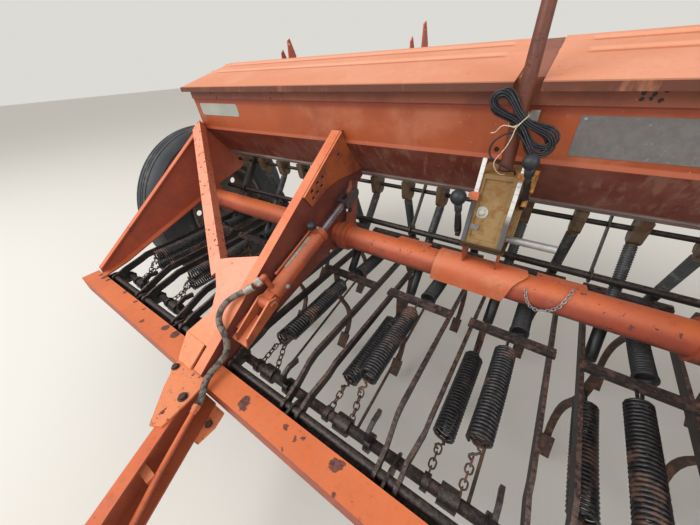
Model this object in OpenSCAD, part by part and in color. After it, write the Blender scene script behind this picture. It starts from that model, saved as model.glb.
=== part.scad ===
/* [Rows] */
// Number of seed rows
row_count = 20; // [16:2:24]
// Distance between rows
row_pitch = 178; // [160:1:200]

/* [Hopper] */
// Hopper end beyond the outer half pitch
hopper_margin = 39; // [20:1:60]
// Sheet thickness of hopper and lids
sheet_t = 4; // [3:0.5:6]
// Depth of the hopper, front to rear
hopper_depth = 696; // [600:1:760]
// Front face of the hopper, from the row line
hopper_front_y = -149; // [-170:1:-130]
// How far the front panel leans in at its break line
panel_lean = 14; // [5:1:30]
// Height of the break line
break_z = 1215; // [1180:1:1260]
// Height of the hopper floor
floor_z = 1023; // [1000:1:1060]
// Front edge of the floor, from the row line
floor_y = 24; // [10:1:40]
// Width of the floor
floor_w = 106; // [90:1:160]
// Height of the step under the top band
band_z = 1385; // [1350:1:1400]
// How far the top band stands proud
band_t = 8; // [4:1:12]
// Height of the lip along the lower front edge
lip_h = 20; // [10:1:30]
// How far the lip stands proud
lip_t = 7; // [4:1:10]

/* [Lids] */
// Height of the lid at its front edge
lid_edge_z = 1446; // [1430:1:1480]
// Rise of the lid from edge to ridge
lid_rise = 109; // [60:1:130]
// Overhang of the lid in front of the hopper
lid_overhang = 51; // [40:1:60]
// Depth of the lid skirt
lid_skirt = 22; // [15:1:28]
// Overhang of the lid at the hopper's end
lid_end_overhang = 21; // [12:1:30]
// Gap between the two lids
lid_gap = 72; // [66:1:90]
// Width of the raised creases on the lid
crease_w = 30; // [20:1:40]
// Height of the raised creases
crease_h = 5; // [3:1:8]
// Radius of the lid hinge pin
lid_pin_r = 5; // [4:0.5:7]
// Radius of the lid hinge knuckle
knuckle_r = 9; // [8:0.5:12]
// Width of a lid hinge knuckle
knuckle_w = 60; // [40:1:80]

/* [Frame] */
// Section of the front rail
rail_size = 86; // [70:1:100]
// Wall of the front rail
rail_wall = 6; // [4:1:10]
// Height of the rail's top face
rail_top_z = 600; // [570:1:640]
// Rear face of the rail, from the row line
rail_back_y = -1018; // [-1060:1:-980]
// Rail end beyond the end plate
rail_end = 63; // [30:1:80]
// Thickness of end plates and arm webs
plate_t = 8; // [6:1:12]
// Width of the flanges on the arms and below the end plates
flange_w = 46; // [30:1:60]
// Width of the flange on the end plates' top edge
rim_flange_w = 26; // [16:1:36]
// Distance of the arm webs from the middle
arm_x = 700; // [685:1:720]
// Height where the arm's top edge meets the hopper
arm_top_z = 1271; // [1240:1:1300]
// Fall of the arm's top edge, as a slope
arm_fall = 0.695; // [0.66:0.005:0.7]
// Thickness of the doubler plate on the arm
doubler_t = 10; // [6:1:14]
// Radius of the holes in the doubler
doubler_hole_r = 9; // [6:0.5:12]
// Section of the diagonal strut
strut_size = 50; // [40:1:60]
// Rise of the diagonal strut over its run to the rear
strut_slope = 35.4; // [35:0.1:36]

/* [Drawbar] */
// Height of the drawbar channel
draw_h = 120; // [100:1:140]
// Width of the drawbar channel
draw_w = 88; // [70:1:100]
// Thickness of the drawbar channel
draw_t = 8; // [6:1:12]
// Hitch pin in front of the row line
hitch_reach = 2740; // [2500:1:2900]
// Radius of the hitch pin bore
hitch_r = 16; // [12:0.5:20]
// Radius of the hitch plates' nose
hitch_nose_r = 60; // [50:1:80]
// Thickness of the hitch plates
hitch_t = 14; // [10:1:20]

/* [Jack] */
// Radius of the jack leg
jack_r = 30; // [25:1:40]
// Wall of the jack sleeve
jack_wall = 7; // [5:1:10]
// Radius of the jack's foot
foot_r = 90; // [70:1:110]
// Thickness of the jack's foot
foot_t = 10; // [8:1:16]

/* [Rockshaft] */
// Radius of the rockshaft tube
tube_r = 57; // [50:0.5:63]
// Wall of the rockshaft tube
tube_wall = 6; // [4:0.5:10]
// Height of the rockshaft
shaft_z = 790; // [780:1:800]
// Rockshaft, from the row line
shaft_y = -237; // [-247:1:-227]
// Radius of the flanges that join tube and lever
collar_r = 70; // [68:1:76]
// Thickness of those flanges
collar_t = 14; // [10:1:18]
// Length of the plates welded on top of the tube
tab_l = 150; // [100:1:180]
// Thickness of the lift lever
lever_t = 20; // [14:1:24]
// Distance of the lift lever from the middle
lever_x = 640; // [632:1:644]
// Thickness of the crank arms
crank_t = 25; // [18:1:30]

/* [Wheels] */
// Outer diameter of the tyre
tyre_d = 1200; // [1100:1:1240]
// Width of the tyre
tyre_w = 250; // [200:1:280]
// Radius of the rim
rim_r = 305; // [280:1:330]
// Distance of the wheel from the middle
wheel_x = 2075; // [2060:1:2120]
// Wheel axle, from the row line
axle_y = -40; // [-60:1:-20]
// Radius of the stub axle
axle_r = 25; // [20:1:30]
// Radius of the wheel hub
hub_r = 60; // [50:1:75]

/* [Lift cylinder] */
// Radius of the barrel
barrel_r = 34; // [30:1:38]
// Length of the barrel
barrel_l = 385; // [360:1:400]
// Radius of the rod
rod_r = 16; // [12:1:20]
// Radius of the pins at both ends
cyl_pin_r = 12; // [10:0.5:14]
// Room around the pin at the rod's eye
eye_room = 8; // [7:0.5:9]

/* [Tines] */
// Front cross bars, from the row line
front_rank_y = -372; // [-380:1:-366]
// Rear cross bars, from the row line
rear_rank_y = 100; // [90:1:110]
// Height of the cross bars' lower face
cross_z = 650; // [644:1:656]
// Cross bar, front to rear
cross_w = 40; // [34:1:44]
// Cross bar, thickness
cross_t = 14; // [10:1:16]
// Distance of the drag bars from the middle of their unit
bar_x = 133; // [126:1:138]
// How far the bars spread towards the hinge
bar_splay = 12; // [8:1:16]
// Thickness of the drag bars
bar_t = 12; // [10:1:14]
// Height of the drag bars
bar_h = 36; // [30:1:40]
// Height of the tine points
point_z = 96; // [60:1:140]
// Width of the tine shank
shank_w = 25; // [20:1:32]
// Thickness of the tine shank
shank_t = 16; // [12:1:20]
// Width of the hoe point
hoe_w = 50; // [36:1:60]
// Radius of the hinge shaft
hinge_r = 14; // [12:1:16]
// Height of the hinge shaft
hinge_z = 575; // [572:1:578]
// Hinge shaft behind the rail
hinge_back = 33; // [31:1:36]
// Radius of the tension shaft
tension_r = 18; // [14:1:20]
// Height of the tension shaft
tension_z = 525; // [520:1:528]
// Tension shaft behind the rail
tension_back = 103; // [100:1:108]
// Outer radius of the springs
spring_r = 36; // [32:0.5:38]
// Wire radius of the springs
wire_r = 5.5; // [4.5:0.5:6.5]
// Length of the spring coils
spring_l = 375; // [340:1:380]

/* [Feed] */
// Width of a seed cup
cup_w = 40; // [38:1:60]
// Depth of a seed cup
cup_d = 88; // [70:1:100]
// Height of a seed cup
cup_h = 96; // [80:1:104]
// Radius of the feed shaft through the cups
feed_r = 10; // [8:0.5:12]
// Radius of the cross shaft below the lip
cross_shaft_r = 14; // [10:0.5:18]
// Outer radius of the seed tubes
hose_r = 21; // [19:0.5:23]
// Wall of the seed tubes
hose_wall = 3; // [2:0.5:4]

/* [Gearbox] */
// Width of the gearbox
gear_w = 130; // [110:1:150]
// Radius of the centre pole
pole_r = 24; // [20:1:28]
// Height of the pole's top
pole_top_z = 1850; // [1700:1:2000]
// Radius of the hydraulic pipe
pipe_r = 9; // [7:0.5:10]
// Radius of the ball knobs
knob_r = 28; // [22:1:32]

/* [Hidden] */
$fn = 48;

// Overall reach to the front and rear of the row line
front_reach = hitch_reach + hitch_nose_r;
rear_reach = 720;
row_line_y = (front_reach - rear_reach) / 2;

// Clearances: running fits, seated faces, loose holes
run = 0.05;
seat = 0.3;
loose = 0.1;

// Hopper section
hopper_l = row_count * row_pitch + 2 * hopper_margin;
end_x = hopper_l / 2;
hopper_rear_y = hopper_front_y + hopper_depth;
ridge_y = hopper_front_y + hopper_depth / 2;
break_y = hopper_front_y + panel_lean;
lid_front_y = hopper_front_y - lid_overhang;
lid_rear_y = hopper_rear_y + lid_overhang;
lid_half = ridge_y - lid_front_y;
lid_drop = sheet_t * sqrt(1 + pow(lid_rise / lid_half, 2));
function lid_z(y) = lid_edge_z + lid_rise * (1 - abs(y - ridge_y) / lid_half);
function under_lid(y) = lid_z(y) - lid_drop - seat;
rim_z = floor(under_lid(hopper_front_y - band_t));
lid_hinge_y = hopper_rear_y + 28;
lid_hinge_z = lid_edge_z - 14;
function front_y(z) = break_y - panel_lean * (z - break_z) / (band_z - break_z);
function rear_y(z) = hopper_rear_y - panel_lean * (band_z - z) / (band_z - break_z);
function panel_y(z) = break_y + (floor_y - break_y) * (break_z - z) / (break_z - floor_z);
lip_face = [[floor_y - lip_t, floor_z], [panel_y(floor_z + lip_h) - lip_t, floor_z + lip_h - 2],
  [panel_y(floor_z + lip_h), floor_z + lip_h]];
hopper_outline = [
  [hopper_front_y, rim_z], [hopper_front_y, band_z], [break_y, break_z],
  [floor_y, floor_z], [floor_y + floor_w, floor_z],
  [hopper_rear_y - panel_lean, break_z], [hopper_rear_y, band_z], [hopper_rear_y, rim_z]
];

// Frame places
rail_front_y = rail_back_y - rail_size;
rail_bottom_z = rail_top_z - rail_size;
rail_l = 2 * (end_x + rail_end);
lug_r = tube_r + 38;
axle_z = tyre_d / 2;
crank_x = end_x + 26;
draw_front_y = -hitch_reach + 140;
draw_root_x = arm_x + 10;
draw_front_x = 52;
draw_z = rail_top_z - draw_h;
function draw_x(y) = draw_front_x
  + (draw_root_x - draw_front_x) * (y - draw_front_y) / (rail_front_y - draw_front_y);
jack_y = draw_front_y + 150;
jack_top_z = 900;

// Lift linkage: base pin, rod's eye and the direction between them
base_y = -790;
base_z = 764;
eye_y = -180;
eye_z = 1000;
cyl_l = sqrt(pow(eye_y - base_y, 2) + pow(eye_z - base_z, 2));
cyl_a = atan2(eye_z - base_z, eye_y - base_y);
eye_boss_r = cyl_pin_r + eye_room + 11;
tab_tilt = 12;
ear_t = 14;
ear_gap = 1;
ear_l = 72;
bridge_t = 14;
barrel_wall = 8;
barrel_eye_w = 0.7 * barrel_r;

// Tine units: two rows share one drag frame
unit_count = row_count / 2;
function row_x(i) = (i - (row_count - 1) / 2) * row_pitch;
function unit_x(k) = (row_x(2 * k) + row_x(2 * k + 1)) / 2;
units = [0 : unit_count - 1];
hinge_y = rail_back_y + hinge_back;
tension_y = rail_back_y + tension_back;
upper_z = cross_z + cross_t / 2;
lower_z = 550;
bar_mid_z = cross_z - bar_h / 2;
spring_hook = 34;
upper_seat_y = front_rank_y - cross_w / 2 - seat;
lower_seat_y = front_rank_y - shank_t / 2 - seat;
rear_seat_y = rear_rank_y - cross_w / 2 - seat;
rear_spring_x = 25;
spool_r = tension_r + 12;

// Cups and tubes
cup_mid_y = 45;
cup_floor_z = floor_z - cup_h;
feed_z = floor_z - 45;
spout_l = 36;
front_drop = [-250, 560];
rear_drop = [190, 560];
cross_shaft_y = -95;
cross_shaft_z = 829;
shaft_end_x = end_x - 20;
hanger_rows = [-9, -6, -2, 2, 6, 9];

// Gearbox section
gear_front_y = -340;
gear_top_y = -262;
gear_top_z = break_z - 15;
gear_bottom_z = 960;
pole_y = -200;
scale_w = 13;
scale_t = 9;
clamp_t = 13;
clamp_half = 11;
gear_sill_z = gear_bottom_z + 24;
gear_lean = (gear_top_y - gear_front_y) / (gear_top_z - gear_sill_z);
function gear_y(z) = gear_front_y + gear_lean * (z - gear_sill_z);

// Elbow on the barrel, and the hose's route from it to the pipe's end. The elbow moves a little
// with the barrel, so the hose starts at a distance from it.
elbow = [-652, -764, 868];
hose_start = [-670, -806, 846];
elbow_gap = 9;
elbow_aim = (hose_start - elbow) / norm(hose_start - elbow);
free_hose_r = 12;
hank_t = 38;
pipe_z = rail_top_z - draw_t / 2;
pipe_lean = (draw_root_x - draw_front_x) / (rail_front_y - draw_front_y);
pipe_room = (free_hose_r + seat) * sqrt(1 + pipe_lean * pipe_lean);
function pipe_x(y) = draw_w / 2 - draw_x(y) + pipe_room;
pipe_start_y = rail_front_y - 56;
pipe_end_y = draw_front_y + 240;
hose_points = [
  hose_start, hose_start + 8 * elbow_aim, [-702, -836, 825], [-737, -870, 804],
  [-745, -906, 789], [-739, -932, 773], [-727, -949, 758], [-686, -966, 730], [-671, -975, 702],
  [-662, -998, 668], [-667, -1030, 645], [-667, -1066, 635], [-656, -1101, 625], [-644, -1123, 612],
  [pipe_x(pipe_start_y + 14), pipe_start_y + 14, pipe_z],
  [pipe_x(pipe_start_y + seat), pipe_start_y + seat, pipe_z]
];

// Moves the row line to its place behind the middle of the machine
module placed() {
  translate([0, row_line_y, 0]) children();
}

// Outline in Y and Z, extruded along X from x0
module side_plate(x0, t, points) {
  translate([x0, 0, 0]) rotate([90, 0, 90]) linear_extrude(t) polygon(points);
}

// Round bar along X
module x_rod(x0, x1, r, y, z) {
  translate([x0, y, z]) rotate([0, 90, 0]) cylinder(h = x1 - x0, r = r);
}

// Round bar between two points of one X plane
module lean_rod(x, a, b, r) {
  d = b - a;
  translate([x, a[0], a[1]]) rotate([atan2(-d[0], d[1]), 0, 0]) cylinder(h = norm(d), r = r);
}

// Round bar between any two points
module rod_between(a, b, r) {
  d = b - a;
  translate(a) rotate([0, atan2(norm([d[0], d[1]]), d[2]), atan2(d[1], d[0])])
    cylinder(h = norm(d), r = r);
}

// Block by its lower and upper corner
module block(a, b) {
  translate(a) cube(b - a);
}

// Right-hand piece, mirrored for the left side
module sided(side) {
  mirror([side < 0 ? 1 : 0, 0, 0]) children();
}

// Outline moved inwards by t; the outline runs anticlockwise
function edge_normal(a, b) = [a[1] - b[1], b[0] - a[0]] / norm(b - a);
function inset_point(a, b, c, t) =
  let (m = edge_normal(a, b), n = edge_normal(b, c))
  b + (m + n) * t / (1 + m * n);
function inset(p, t) = [for (i = [0 : len(p) - 1])
  inset_point(p[(i + len(p) - 1) % len(p)], p[i], p[(i + 1) % len(p)], t)];

// Strip of constant width along a path
function path_normal(p, i) =
  let (a = p[max(i - 1, 0)], b = p[min(i + 1, len(p) - 1)])
  [a[1] - b[1], b[0] - a[0]] / norm(b - a);
function ribbon(p, w) = concat(
  [for (i = [0 : len(p) - 1]) p[i] + path_normal(p, i) * w / 2],
  [for (i = [len(p) - 1 : -1 : 0]) p[i] - path_normal(p, i) * w / 2]);
function bezier(a, b, c, d, t) =
  pow(1 - t, 3) * a + 3 * t * pow(1 - t, 2) * b + 3 * t * t * (1 - t) * c + pow(t, 3) * d;

module front_rail() {
  color("orangered") placed() difference() {
    block([-rail_l / 2, rail_front_y, rail_bottom_z], [rail_l / 2, rail_back_y, rail_top_z]);
    block([-rail_l / 2 + rail_wall, rail_front_y + rail_wall, rail_bottom_z + rail_wall],
      [rail_l / 2 - rail_wall, rail_back_y - rail_wall, rail_top_z - rail_wall]);
  }
}

// End plate: web with a top and a bottom flange turned inwards, and the rockshaft's bearing
plate_top = [[rail_back_y, rail_top_z + 42], [hopper_front_y - 2, 1250]];
plate_low = [[rail_back_y, rail_bottom_z + 70], [-888, 622], [-312, 811], [41, 906]];
flange_drop = plate_t * 1.2;
module end_plate(side) {
  web = concat(plate_low, [[hopper_rear_y - 7, 1100], [hopper_rear_y - 7, 1237]],
    [plate_top[1], plate_top[0]]);
  color("orangered") placed() sided(side) difference() {
    union() {
      side_plate(end_x, plate_t, web);
      x_rod(end_x, end_x + plate_t, lug_r, shaft_y, shaft_z);
      side_plate(end_x - rim_flange_w, rim_flange_w, [plate_top[0], plate_top[1],
        plate_top[1] - [0, flange_drop], plate_top[0] - [0, flange_drop]]);
      side_plate(end_x - flange_w, flange_w, concat([plate_low[0] + [0, 12]], [plate_low[1],
        plate_low[2], plate_low[2] + [0, plate_t], plate_low[1] + [0, plate_t]],
        [plate_low[0] + [0, 12 + plate_t]]));
    }
    x_rod(end_x - 1, end_x + plate_t + 1, tube_r + run, shaft_y, shaft_z);
  }
}

// Arm from the rail to the hopper, with its top flange, doubler and bearing
arm_head = [front_y(arm_top_z) - 20, arm_top_z];
arm_low_z = rail_top_z + plate_t + seat;
doubler_holes = [[-198, 1177], [-323, 1112], [-360, 1098], [-335, 1077], [-400, 1075],
  [-367, 1059], [-397, 1042]];
arm_foot = [arm_head[0] - (arm_head[1] - arm_low_z - 14) / arm_fall, arm_low_z + 14];
module arm(side) {
  web = concat([[arm_foot[0], arm_low_z], [rail_back_y, arm_low_z], [rail_back_y, 548], [-330, 716],
    [-150, 800], [-150, 985], [panel_y(1040) - 30, 1000]], lip_face, [[break_y, break_z],
    [front_y(arm_top_z), arm_top_z], arm_head, arm_foot]);
  doubler = [[panel_y(1062) - 1, 1062], [break_y - 1, break_z], [arm_head[0], arm_head[1] - 3],
    [-452, arm_head[1] - 3 + (-452 - arm_head[0]) * arm_fall], [-413, 1009], [-356, 1032],
    [-293, 1055], [-209, 1066], [-120, 1062]];
  color("orangered") placed() sided(side) difference() {
    union() {
      side_plate(arm_x, plate_t, web);
      x_rod(arm_x, arm_x + plate_t, lug_r, shaft_y, shaft_z);
      side_plate(arm_x, flange_w, [arm_foot, arm_head, arm_head - [0, flange_drop],
        arm_foot - [0, flange_drop]]);
      side_plate(arm_x - doubler_t, doubler_t, doubler);
    }
    x_rod(arm_x - 1, arm_x + plate_t + 1, tube_r + run, shaft_y, shaft_z);
    x_rod(arm_x - 1, arm_x + plate_t + 1, hinge_r + loose, hinge_y, hinge_z);
    for (p = doubler_holes)
      x_rod(arm_x - doubler_t - 1, arm_x + plate_t + 1, doubler_hole_r, p[0], p[1]);
  }
}

// Diagonal strut from the end plate's head, and the sloping gusset that joins it to arm and rail
module strut(side) {
  slope = atan2(arm_head[1] - arm_foot[1], arm_head[0] - arm_foot[0]);
  joint = [890, -770];
  joint_z = arm_foot[1] + (joint[1] - arm_foot[0]) * tan(slope);
  inner_x = arm_x + flange_w + seat;
  top_y = plate_top[1][0] - 22;
  function along(y, a) = (y - joint[1]) / cos(a);
  function on_plan(points, a) = [for (p = points) [p[0], along(p[1], a)]];
  bar_low = [920, -806];
  bar_high = [end_x + 20, top_y];
  d = bar_high - bar_low;
  n = [-d[1], d[0]] / norm(d) * strut_size / 2;
  gusset = [[inner_x, rail_back_y - 20], [arm_x + 182, rail_back_y - 20], [arm_x + 182, rail_back_y],
    [825, -925], [860, -860], [968, -772], [890, -744], [inner_x, -700]];
  flange_space = [plate_top[0] - [0, flange_drop + seat], plate_top[1] - [0, flange_drop + seat],
    plate_top[1] + [0, 60], plate_top[0] + [0, 60]];
  color("orangered") placed() sided(side) difference() {
    intersection() {
      block([0, rail_back_y + seat, 0], [end_x - seat, hopper_front_y - 2, 1600]);
      union() {
        translate([0, joint[1], joint_z - 1]) rotate([strut_slope, 0, 0])
          translate([0, 0, -strut_size]) linear_extrude(strut_size)
            polygon(on_plan([bar_low - n, bar_high - n, [bar_high[0], bar_high[1] + n[1] * 1.6],
              bar_low + n], strut_slope));
        translate([0, joint[1], joint_z]) rotate([slope, 0, 0])
          translate([0, 0, -plate_t]) linear_extrude(plate_t) polygon(on_plan(gusset, slope));
      }
    }
    side_plate(end_x - rim_flange_w - seat, rim_flange_w + 1, flange_space);
  }
}

// Drawbar channel, open towards the middle
module drawbar(side) {
  function strip(near, far) = [
    [draw_root_x + near, rail_front_y], [draw_root_x + far, rail_front_y],
    [draw_front_x + far, draw_front_y], [draw_front_x + near, draw_front_y]];
  color("orangered") placed() sided(side) union() {
    translate([0, 0, draw_z]) linear_extrude(draw_h)
      polygon(strip(draw_w / 2 - draw_t, draw_w / 2));
    for (z = [draw_z, rail_top_z - draw_t])
      translate([0, 0, z]) linear_extrude(draw_t) polygon(strip(-draw_w / 2, draw_w / 2));
  }
}

// Plates on the rail's top that tie the drawbar to it
module drawbar_gussets() {
  y = rail_front_y - 190;
  outline = [[draw_root_x + 40, rail_back_y - 4], [draw_root_x + 170, rail_back_y - 4],
    [draw_root_x + 110, rail_front_y - 60], [draw_x(y) + draw_w / 2, y],
    [draw_x(y) - draw_w / 2 + 1, y], [draw_root_x - draw_w / 2 + 1, rail_front_y]];
  color("orangered") placed() for (side = [-1, 1]) sided(side)
    translate([0, 0, rail_top_z]) linear_extrude(plate_t) polygon(outline);
}

// Two plates that take the towing pin
module hitch_plates() {
  y = -hitch_reach;
  color("orangered") placed() for (z = [draw_z - hitch_t, rail_top_z]) difference() {
    union() {
      translate([0, 0, z]) linear_extrude(hitch_t) polygon([[-120, draw_front_y + 90],
        [-120, draw_front_y - 10], [-hitch_nose_r, y], [hitch_nose_r, y],
        [120, draw_front_y - 10], [120, draw_front_y + 90]]);
      translate([0, y, z]) cylinder(h = hitch_t, r = hitch_nose_r);
    }
    translate([0, y, z - 1]) cylinder(h = hitch_t + 2, r = hitch_r);
  }
}

module jack_sleeve() {
  color("orangered") placed() difference() {
    union() {
      translate([0, jack_y, 420]) cylinder(h = jack_top_z - 420, r = jack_r + jack_wall);
      block([-150, jack_y - 50, rail_top_z], [150, jack_y + 50, rail_top_z + 12]);
    }
    translate([0, jack_y, 419]) cylinder(h = jack_top_z - 419 - jack_wall, r = jack_r + run);
  }
}

module jack_leg() {
  color("silver") placed() union() {
    translate([0, jack_y, 0]) cylinder(h = foot_t, r = foot_r);
    translate([0, jack_y, 0]) cylinder(h = 540, r = jack_r);
  }
}

// Hopper: folded sheet trough with end walls, a middle wall and a top strip between the lids
module hopper() {
  gable = [[hopper_front_y, rim_z - 30], [hopper_rear_y, rim_z - 30], [hopper_rear_y, rim_z],
    [ridge_y, under_lid(ridge_y)], [hopper_front_y, rim_z]];
  cavity = inset(hopper_outline, sheet_t);
  strip_top = [[hopper_front_y, under_lid(hopper_front_y)], [ridge_y, under_lid(ridge_y)],
    [hopper_rear_y, under_lid(hopper_rear_y)]];
  strip = concat(strip_top, [for (i = [2 : -1 : 0]) strip_top[i] - [0, sheet_t]]);
  color("firebrick") placed() union() {
    difference() {
      side_plate(-end_x, hopper_l, hopper_outline);
      side_plate(-end_x + sheet_t, hopper_l - 2 * sheet_t, cavity);
      block([-end_x + sheet_t, hopper_front_y + sheet_t, rim_z - 2 * sheet_t],
        [end_x - sheet_t, hopper_rear_y - sheet_t, rim_z + 1]);
    }
    side_plate(-sheet_t / 2, sheet_t, hopper_outline);
    for (x = [-end_x, -sheet_t / 2, end_x - sheet_t]) side_plate(x, sheet_t, gable);
    side_plate(-lid_gap / 2 - 20, lid_gap + 40, strip);
    for (y = [hopper_front_y - band_t, hopper_rear_y])
      block([-end_x, y, band_z], [end_x, y + band_t, rim_z]);
    side_plate(-end_x, hopper_l, concat([[floor_y, floor_z]], lip_face));
    for (x = hinge_places) for (s = [-1, 1])
      block([x + s * (knuckle_w / 2 + 11) - 10, hopper_rear_y + band_t - 1, lid_hinge_z - 7],
        [x + s * (knuckle_w / 2 + 11) + 10, lid_hinge_y + 6, lid_hinge_z + 7]);
    for (x = hinge_places)
      x_rod(x - knuckle_w / 2 - 2, x + knuckle_w / 2 + 2, lid_pin_r, lid_hinge_y, lid_hinge_z);
  }
}
hinge_places = [for (s = [-1, 1]) for (t = [0.15, 0.5, 0.85]) s * t * end_x];

// Lid: bent sheet with skirts, end caps and two raised creases
module lid(side) {
  x0 = lid_gap / 2;
  x1 = end_x + lid_end_overhang;
  top = [[lid_front_y, lid_edge_z], [ridge_y, lid_edge_z + lid_rise], [lid_rear_y, lid_edge_z]];
  shell = concat(top, [[lid_rear_y, lid_edge_z - lid_skirt],
    [lid_rear_y - sheet_t, lid_edge_z - lid_skirt],
    [lid_rear_y - sheet_t, lid_z(lid_rear_y - sheet_t) - lid_drop],
    [ridge_y, lid_z(ridge_y) - lid_drop],
    [lid_front_y + sheet_t, lid_z(lid_front_y + sheet_t) - lid_drop],
    [lid_front_y + sheet_t, lid_edge_z - lid_skirt], [lid_front_y, lid_edge_z - lid_skirt]]);
  cap = concat(top, [[lid_rear_y, lid_edge_z - lid_skirt], [lid_front_y, lid_edge_z - lid_skirt]]);
  color("coral") placed() sided(side) difference() {
    union() {
      side_plate(x0, x1 - x0, shell);
      side_plate(x1 - sheet_t, sheet_t, cap);
      for (y = crease_places) {
        y1 = y + crease_w;
        side = crease_w / 4;
        side_plate(x0, x1 - x0, [[y, lid_z(y) - 1], [y1, lid_z(y1) - 1],
          [y1 - side, lid_z(y1 - side) + crease_h], [y + side, lid_z(y + side) + crease_h]]);
      }
      for (x = hinge_places) if (x > 0) {
        x_rod(x - knuckle_w / 2, x + knuckle_w / 2, knuckle_r, lid_hinge_y, lid_hinge_z);
        block([x - knuckle_w / 2, lid_hinge_y, lid_hinge_z - 3],
          [x + knuckle_w / 2, lid_rear_y - 1, lid_hinge_z + 3]);
      }
    }
    for (x = hinge_places) if (x > 0)
      x_rod(x - knuckle_w, x + knuckle_w, lid_pin_r + run, lid_hinge_y, lid_hinge_z);
  }
}
crease_places = [ridge_y - 170, ridge_y - 60];

// Seed cups under the hopper floor, each with a spout
module seed_cups() {
  section = [[0, floor_z], [14, cup_floor_z + 12], [24, cup_floor_z], [cup_d - 24, cup_floor_z],
    [cup_d - 10, cup_floor_z + 14], [cup_d, floor_z]];
  color("goldenrod") placed() for (i = [0 : row_count - 1]) difference() {
    union() {
      side_plate(row_x(i) - cup_w / 2, cup_w, section);
      lean_rod(row_x(i), spout_root, spout_root + spout_dir(i) * spout_l, hose_r - hose_wall - seat);
    }
    x_rod(row_x(i) - cup_w, row_x(i) + cup_w, feed_r + loose, cup_mid_y, feed_z);
  }
}
spout_root = [cup_mid_y, cup_floor_z + 6];
function drop(i) = i % 2 == 0 ? front_drop : rear_drop;
function spout_dir(i) = (drop(i) - spout_root) / norm(drop(i) - spout_root);

module feed_shaft() {
  color("dimgray") placed() x_rod(-shaft_end_x, shaft_end_x, feed_r, cup_mid_y, feed_z);
}

module cross_shaft() {
  color("dimgray") placed()
    x_rod(-shaft_end_x, shaft_end_x, cross_shaft_r, cross_shaft_y, cross_shaft_z);
}

// Bars that hang the cross shaft from the hopper's floor
module shaft_hangers() {
  color("dimgray") placed() for (n = hanger_rows) {
    x = n * row_pitch;
    difference() {
      union() {
        side_plate(x - 3, 6, [[cross_shaft_y - 20, cross_shaft_z - 18],
          [cross_shaft_y + 20, cross_shaft_z - 18], [floor_y + 50, floor_z], [floor_y + 10, floor_z]]);
        x_rod(x - 3, x + 3, cross_shaft_r + 12, cross_shaft_y, cross_shaft_z);
      }
      x_rod(x - 4, x + 4, cross_shaft_r + loose, cross_shaft_y, cross_shaft_z);
      x_rod(x - 4, x + 4, feed_r + loose, cup_mid_y, feed_z);
    }
  }
}

// Seed tubes of every second row, from their spout to just above the tines
module seed_tubes(first) {
  color("dimgray") placed() for (i = [first : 2 : row_count - 1]) {
    start = spout_root + spout_dir(i) * 24;
    difference() {
      lean_rod(row_x(i), start, drop(i), hose_r);
      lean_rod(row_x(i), start - spout_dir(i), drop(i) + spout_dir(i), hose_r - hose_wall);
    }
  }
}

// Gearbox: casting with a front that leans back, a raised edge round it and a flange on the right
module gearbox_housing() {
  section = [[gear_front_y + 16, gear_bottom_z], [gear_front_y, gear_sill_z],
    [gear_top_y, gear_top_z], [panel_y(gear_top_z) - seat, gear_top_z],
    [panel_y(gear_top_z - 80) - seat, gear_top_z - 80], [-170, gear_bottom_z]];
  recess = [[gear_y(gear_sill_z + 14) - 5, gear_sill_z + 14],
    [gear_y(gear_top_z - 14) - 5, gear_top_z - 14], [gear_y(gear_top_z - 14) + 5, gear_top_z - 14],
    [gear_y(gear_sill_z + 14) + 5, gear_sill_z + 14]];
  color("goldenrod") placed() union() {
    difference() {
      side_plate(-gear_w / 2, gear_w, section);
      side_plate(-gear_w / 2 + 24, gear_w - 48, recess);
    }
    side_plate(gear_w / 2 - 1, 22, [[gear_y(1010) + 46, 1010], [gear_y(1160) + 46, 1160],
      [gear_y(1160) + 58, 1160], [gear_y(1010) + 58, 1010]]);
    block([-gear_w / 2 - 6, gear_front_y + 18, gear_bottom_z - 8],
      [gear_w / 2 + 10, -172, gear_bottom_z + 8]);
  }
}

// Two scale bars in front of the gearbox, the left one longer
module gearbox_scales() {
  color("silver") placed() for (bar = [[-gear_w / 2, 1246], [gear_w / 2 - scale_w, 1188]]) {
    low = gear_sill_z + 2;
    high = bar[1];
    side_plate(bar[0], scale_w, [[gear_y(low) - scale_t, low], [gear_y(low) - seat, low],
      [gear_y(high) - seat, high], [gear_y(high) - scale_t, high]]);
  }
}

// Pointer clamps on the scale bars, each with a ball knob on its lever; the columns are the
// side, the height of the clamp, the knob's place and the height of the lever's foot
module gearbox_levers() {
  controls = [[-1, 1135, [-97, -350, 1142], 1010], [1, 1160, [76, -344, 1262], 1120]];
  color("dimgray") placed() for (c = controls) {
    x = c[0] * (gear_w - scale_w) / 2;
    low = c[1] - clamp_half;
    high = c[1] + clamp_half;
    root = [x + c[0] * 6, gear_y(c[1]) - scale_t - clamp_t / 2, c[1]];
    foot = [c[0] * 84, gear_y(c[3]) - 6, c[3]];
    side_plate(x - 10, 20, [[gear_y(low) - scale_t - clamp_t, low],
      [gear_y(low) - scale_t - seat, low], [gear_y(high) - scale_t - seat, high],
      [gear_y(high) - scale_t - clamp_t, high]]);
    rod_between(foot, c[2], 9);
    rod_between(root, foot + (c[2] - foot) * (c[1] - c[3]) / (c[2][2] - c[3]), 6);
    translate(c[2]) sphere(r = knob_r);
  }
}

// Bright shaft end on the right of the gearbox
module gearbox_shaft() {
  color("silver") placed() x_rod(gear_w / 2 + seat, gear_w / 2 + 150, 13, -250, 982);
}

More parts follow.
